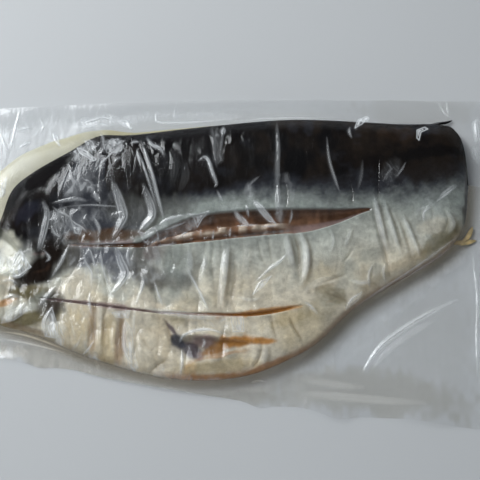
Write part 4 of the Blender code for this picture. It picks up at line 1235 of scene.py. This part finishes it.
def upper_film(look):
    """The upper film, creased where it is drawn over the fish and loose over the margin. It is one sheet in
    several pieces, which share their normals along the joins."""
    columns = FILM_PIECES * FILM_COLUMNS
    u, v = np.meshgrid(np.linspace(0, 1, columns + 1), np.linspace(0, 1, FILM_ROWS + 1), indexing="ij")
    x, y = pouch_plan(u.ravel(), v.ravel())
    at, edge = Spots(x, y), edge_distance(u.ravel(), v.ravel())
    z = film_height(at, lower_height(at, edge), edge)
    sheet = np.stack([x, y, z], axis=1).reshape(*u.shape, 3)
    normals = np.cross(np.gradient(sheet, axis=0), np.gradient(sheet, axis=1))
    normals /= np.linalg.norm(normals, axis=2)[..., None]
    state = film_state(at).reshape(*u.shape, 3)
    for i in range(FILM_PIECES):
        piece, column, row = new_grid(f"upper_film_{i + 1}", FILM_COLUMNS, FILM_ROWS)
        column = column + i * FILM_COLUMNS
        place_points(piece, *sheet[column, row].T)
        paint(piece, "film_state", state[column, row])
        finish(piece, look, "clear_film", "vacuum_pouch")
        piece.data.normals_split_custom_set_from_vertices(normals[column, row])


def lower_film(look):
    """The lower film, under the fish and out to the same edges."""
    piece, column, row = new_grid("lower_film", LOWER_COLUMNS, LOWER_ROWS)
    u, v = column / LOWER_COLUMNS, row / LOWER_ROWS
    at = Spots(*pouch_plan(u, v))
    place_points(piece, at.x, at.y, lower_height(at, edge_distance(u, v)))
    paint(piece, "film_state", np.tile([0.0, 0.1, 0.0], (len(u), 1)))
    edit(piece)
    bpy.ops.mesh.flip_normals()
    bpy.ops.object.mode_set(mode="OBJECT")
    finish(piece, look, "clear_film")


def pale_edge(group):
    """The crescent of pale flesh along the shoulder and the back: a flap whose section runs out along its
    top and back underneath."""
    piece, column, row = new_grid("pale_flesh_edge", PALE_COLUMNS, PALE_ROWS)
    first, last = PALE_REACH[1][0], PALE_REACH[-2][0]
    near = resampled(BACK_CURVE[(BACK_CURVE[:, 0] >= first) & (BACK_CURVE[:, 0] <= last)], 0.5)
    out = leftward(np.gradient(near, axis=0))
    index = np.round((1 - column / PALE_COLUMNS) * (len(near) - 1)).astype(int)
    reach = np.interp(near[index, 0], *zip(*PALE_REACH))
    share = 0.5 - 0.5 * np.cos(row / PALE_ROWS * 2 * math.pi)
    x, y = (near[index] + out[index] * (0.4 + share * reach)[:, None]).T
    top = UNDERSIDE + 0.05 + pale_hump(reach, share) * (1 + 0.12 * cloudy(x, y, 9, 301))
    place_points(piece, x, y, np.where(row <= PALE_ROWS / 2, top, UNDERSIDE))
    uneven = 0.5 + 0.5 * cloudy(x, y, 20, 311)
    colours = painted(np.tile(PALE_CREAM, (len(x), 1)), (PALE_OLIVE, 0.7 * uneven + smooth(-120, -60, x)))
    paint(piece, "flesh_colour", colours)
    edit(piece)
    select_open_edges()
    bpy.ops.mesh.edge_face_add()
    turn_outward()
    finish(piece, flesh_look("pale_flesh", group, "flesh_colour", 0.4, 0.3, 0.2), "pale_flesh", "pale_edge")


# ---- the studio -----------------------------------------------------------------------------------
LAMPS = [  # which way it stands, how far, its width and height in metres, power in watts
    ("sky", (-0.62, 0.50, 0.60), 1.7, 1.3, 1.7, 6),
    ("window", (-0.57, 0.46, 0.68), 1.5, 0.9, 1.1, 15),
    ("pane", (-0.57, 0.46, 0.68), 1.4, 0.25, 0.30, 3.0),
    ("fill", (0.10, -0.62, 0.78), 1.8, 2.4, 1.8, 6),
]
DAYLIGHT = (0.97, 0.985, 1.0)
SKY_LOW, SKY_HIGH = (0.50, 0.53, 0.56, 1), (0.03, 0.032, 0.035, 1)
BRIGHT_SIDE = (-0.75, 0.66, 0.0)


def floor():
    """The pale table that the pack lies on."""
    deselect()
    bpy.ops.mesh.primitive_grid_add(x_subdivisions=8, y_subdivisions=8, size=6.0)
    piece = bpy.context.object
    piece.name = piece.data.name = "floor"
    look, tree, shader = new_look("pale_table")
    place = add_node(tree, "ShaderNodeTexCoord").outputs["Object"]
    faint = add_node(tree, "ShaderNodeTexNoise", [("Vector", place), ("Scale", 3.0), ("Detail", 2.0)])
    ramp = add_node(tree, "ShaderNodeValToRGB", [("Fac", faint.outputs["Fac"])])
    ramp.color_ramp.elements[0].color = (*TABLE * 0.97, 1)
    ramp.color_ramp.elements[1].color = (*TABLE * 1.03, 1)
    tree.links.new(ramp.outputs["Color"], shader.inputs["Base Color"])
    shader.inputs["Roughness"].default_value = 0.6
    shader.inputs["Specular IOR Level"].default_value = 0.2
    piece.data.materials.append(look)


def lamp(name, direction, distance, width, height, power):
    """A soft box that faces the fish from a direction."""
    deselect()
    towards = Vector(direction).normalized()
    bpy.ops.object.light_add(type="AREA", location=towards * distance)
    light = bpy.context.object
    light.name = name
    light.data.shape = "RECTANGLE"
    light.data.size, light.data.size_y = width, height
    light.data.energy = power
    light.data.color = DAYLIGHT
    light.rotation_euler = towards.to_track_quat("Z", "Y").to_euler()


def studio():
    for row in LAMPS:
        lamp(*row)
    world = bpy.data.worlds.new("studio")
    bpy.context.scene.world = world
    world.use_nodes = True
    tree = world.node_tree
    towards = add_node(tree, "ShaderNodeTexCoord").outputs["Generated"]
    height = add_node(tree, "ShaderNodeSeparateXYZ", [(0, towards)])
    ramp = add_node(tree, "ShaderNodeValToRGB", [("Fac", height.outputs["Z"])])
    ramp.color_ramp.elements[0].color = SKY_LOW
    ramp.color_ramp.elements[1].color = SKY_HIGH
    ramp.color_ramp.elements[1].position = 0.8
    side = add_node(tree, "ShaderNodeVectorMath", [(0, towards), (1, BRIGHT_SIDE)], operation="DOT_PRODUCT")
    glow = add_node(
        tree, "ShaderNodeMapRange",
        [("Value", side.outputs["Value"]), ("From Min", 0.3), ("To Min", 1.0), ("To Max", 1.5)],
    )
    tree.links.new(ramp.outputs["Color"], tree.nodes["Background"].inputs["Color"])
    tree.links.new(glow.outputs["Result"], tree.nodes["Background"].inputs["Strength"])


def camera():
    """The photograph's view."""
    deselect()
    bpy.ops.object.camera_add(location=Vector(CAMERA * MM))
    eye = bpy.context.object
    eye.rotation_euler = Vector(BACKWARD).to_track_quat("Z", "Y").to_euler()
    eye.data.lens, eye.data.sensor_width = LENS, SENSOR
    eye.data.clip_start = 0.01
    bpy.context.scene.camera = eye
    bpy.context.scene.view_settings.view_transform = "Standard"


def main():
    camera()
    studio()
    floor()
    group = mottling_group()
    fish(group)
    pale_edge(group)
    film = film_look()
    lower_film(film)
    upper_film(film)


main()
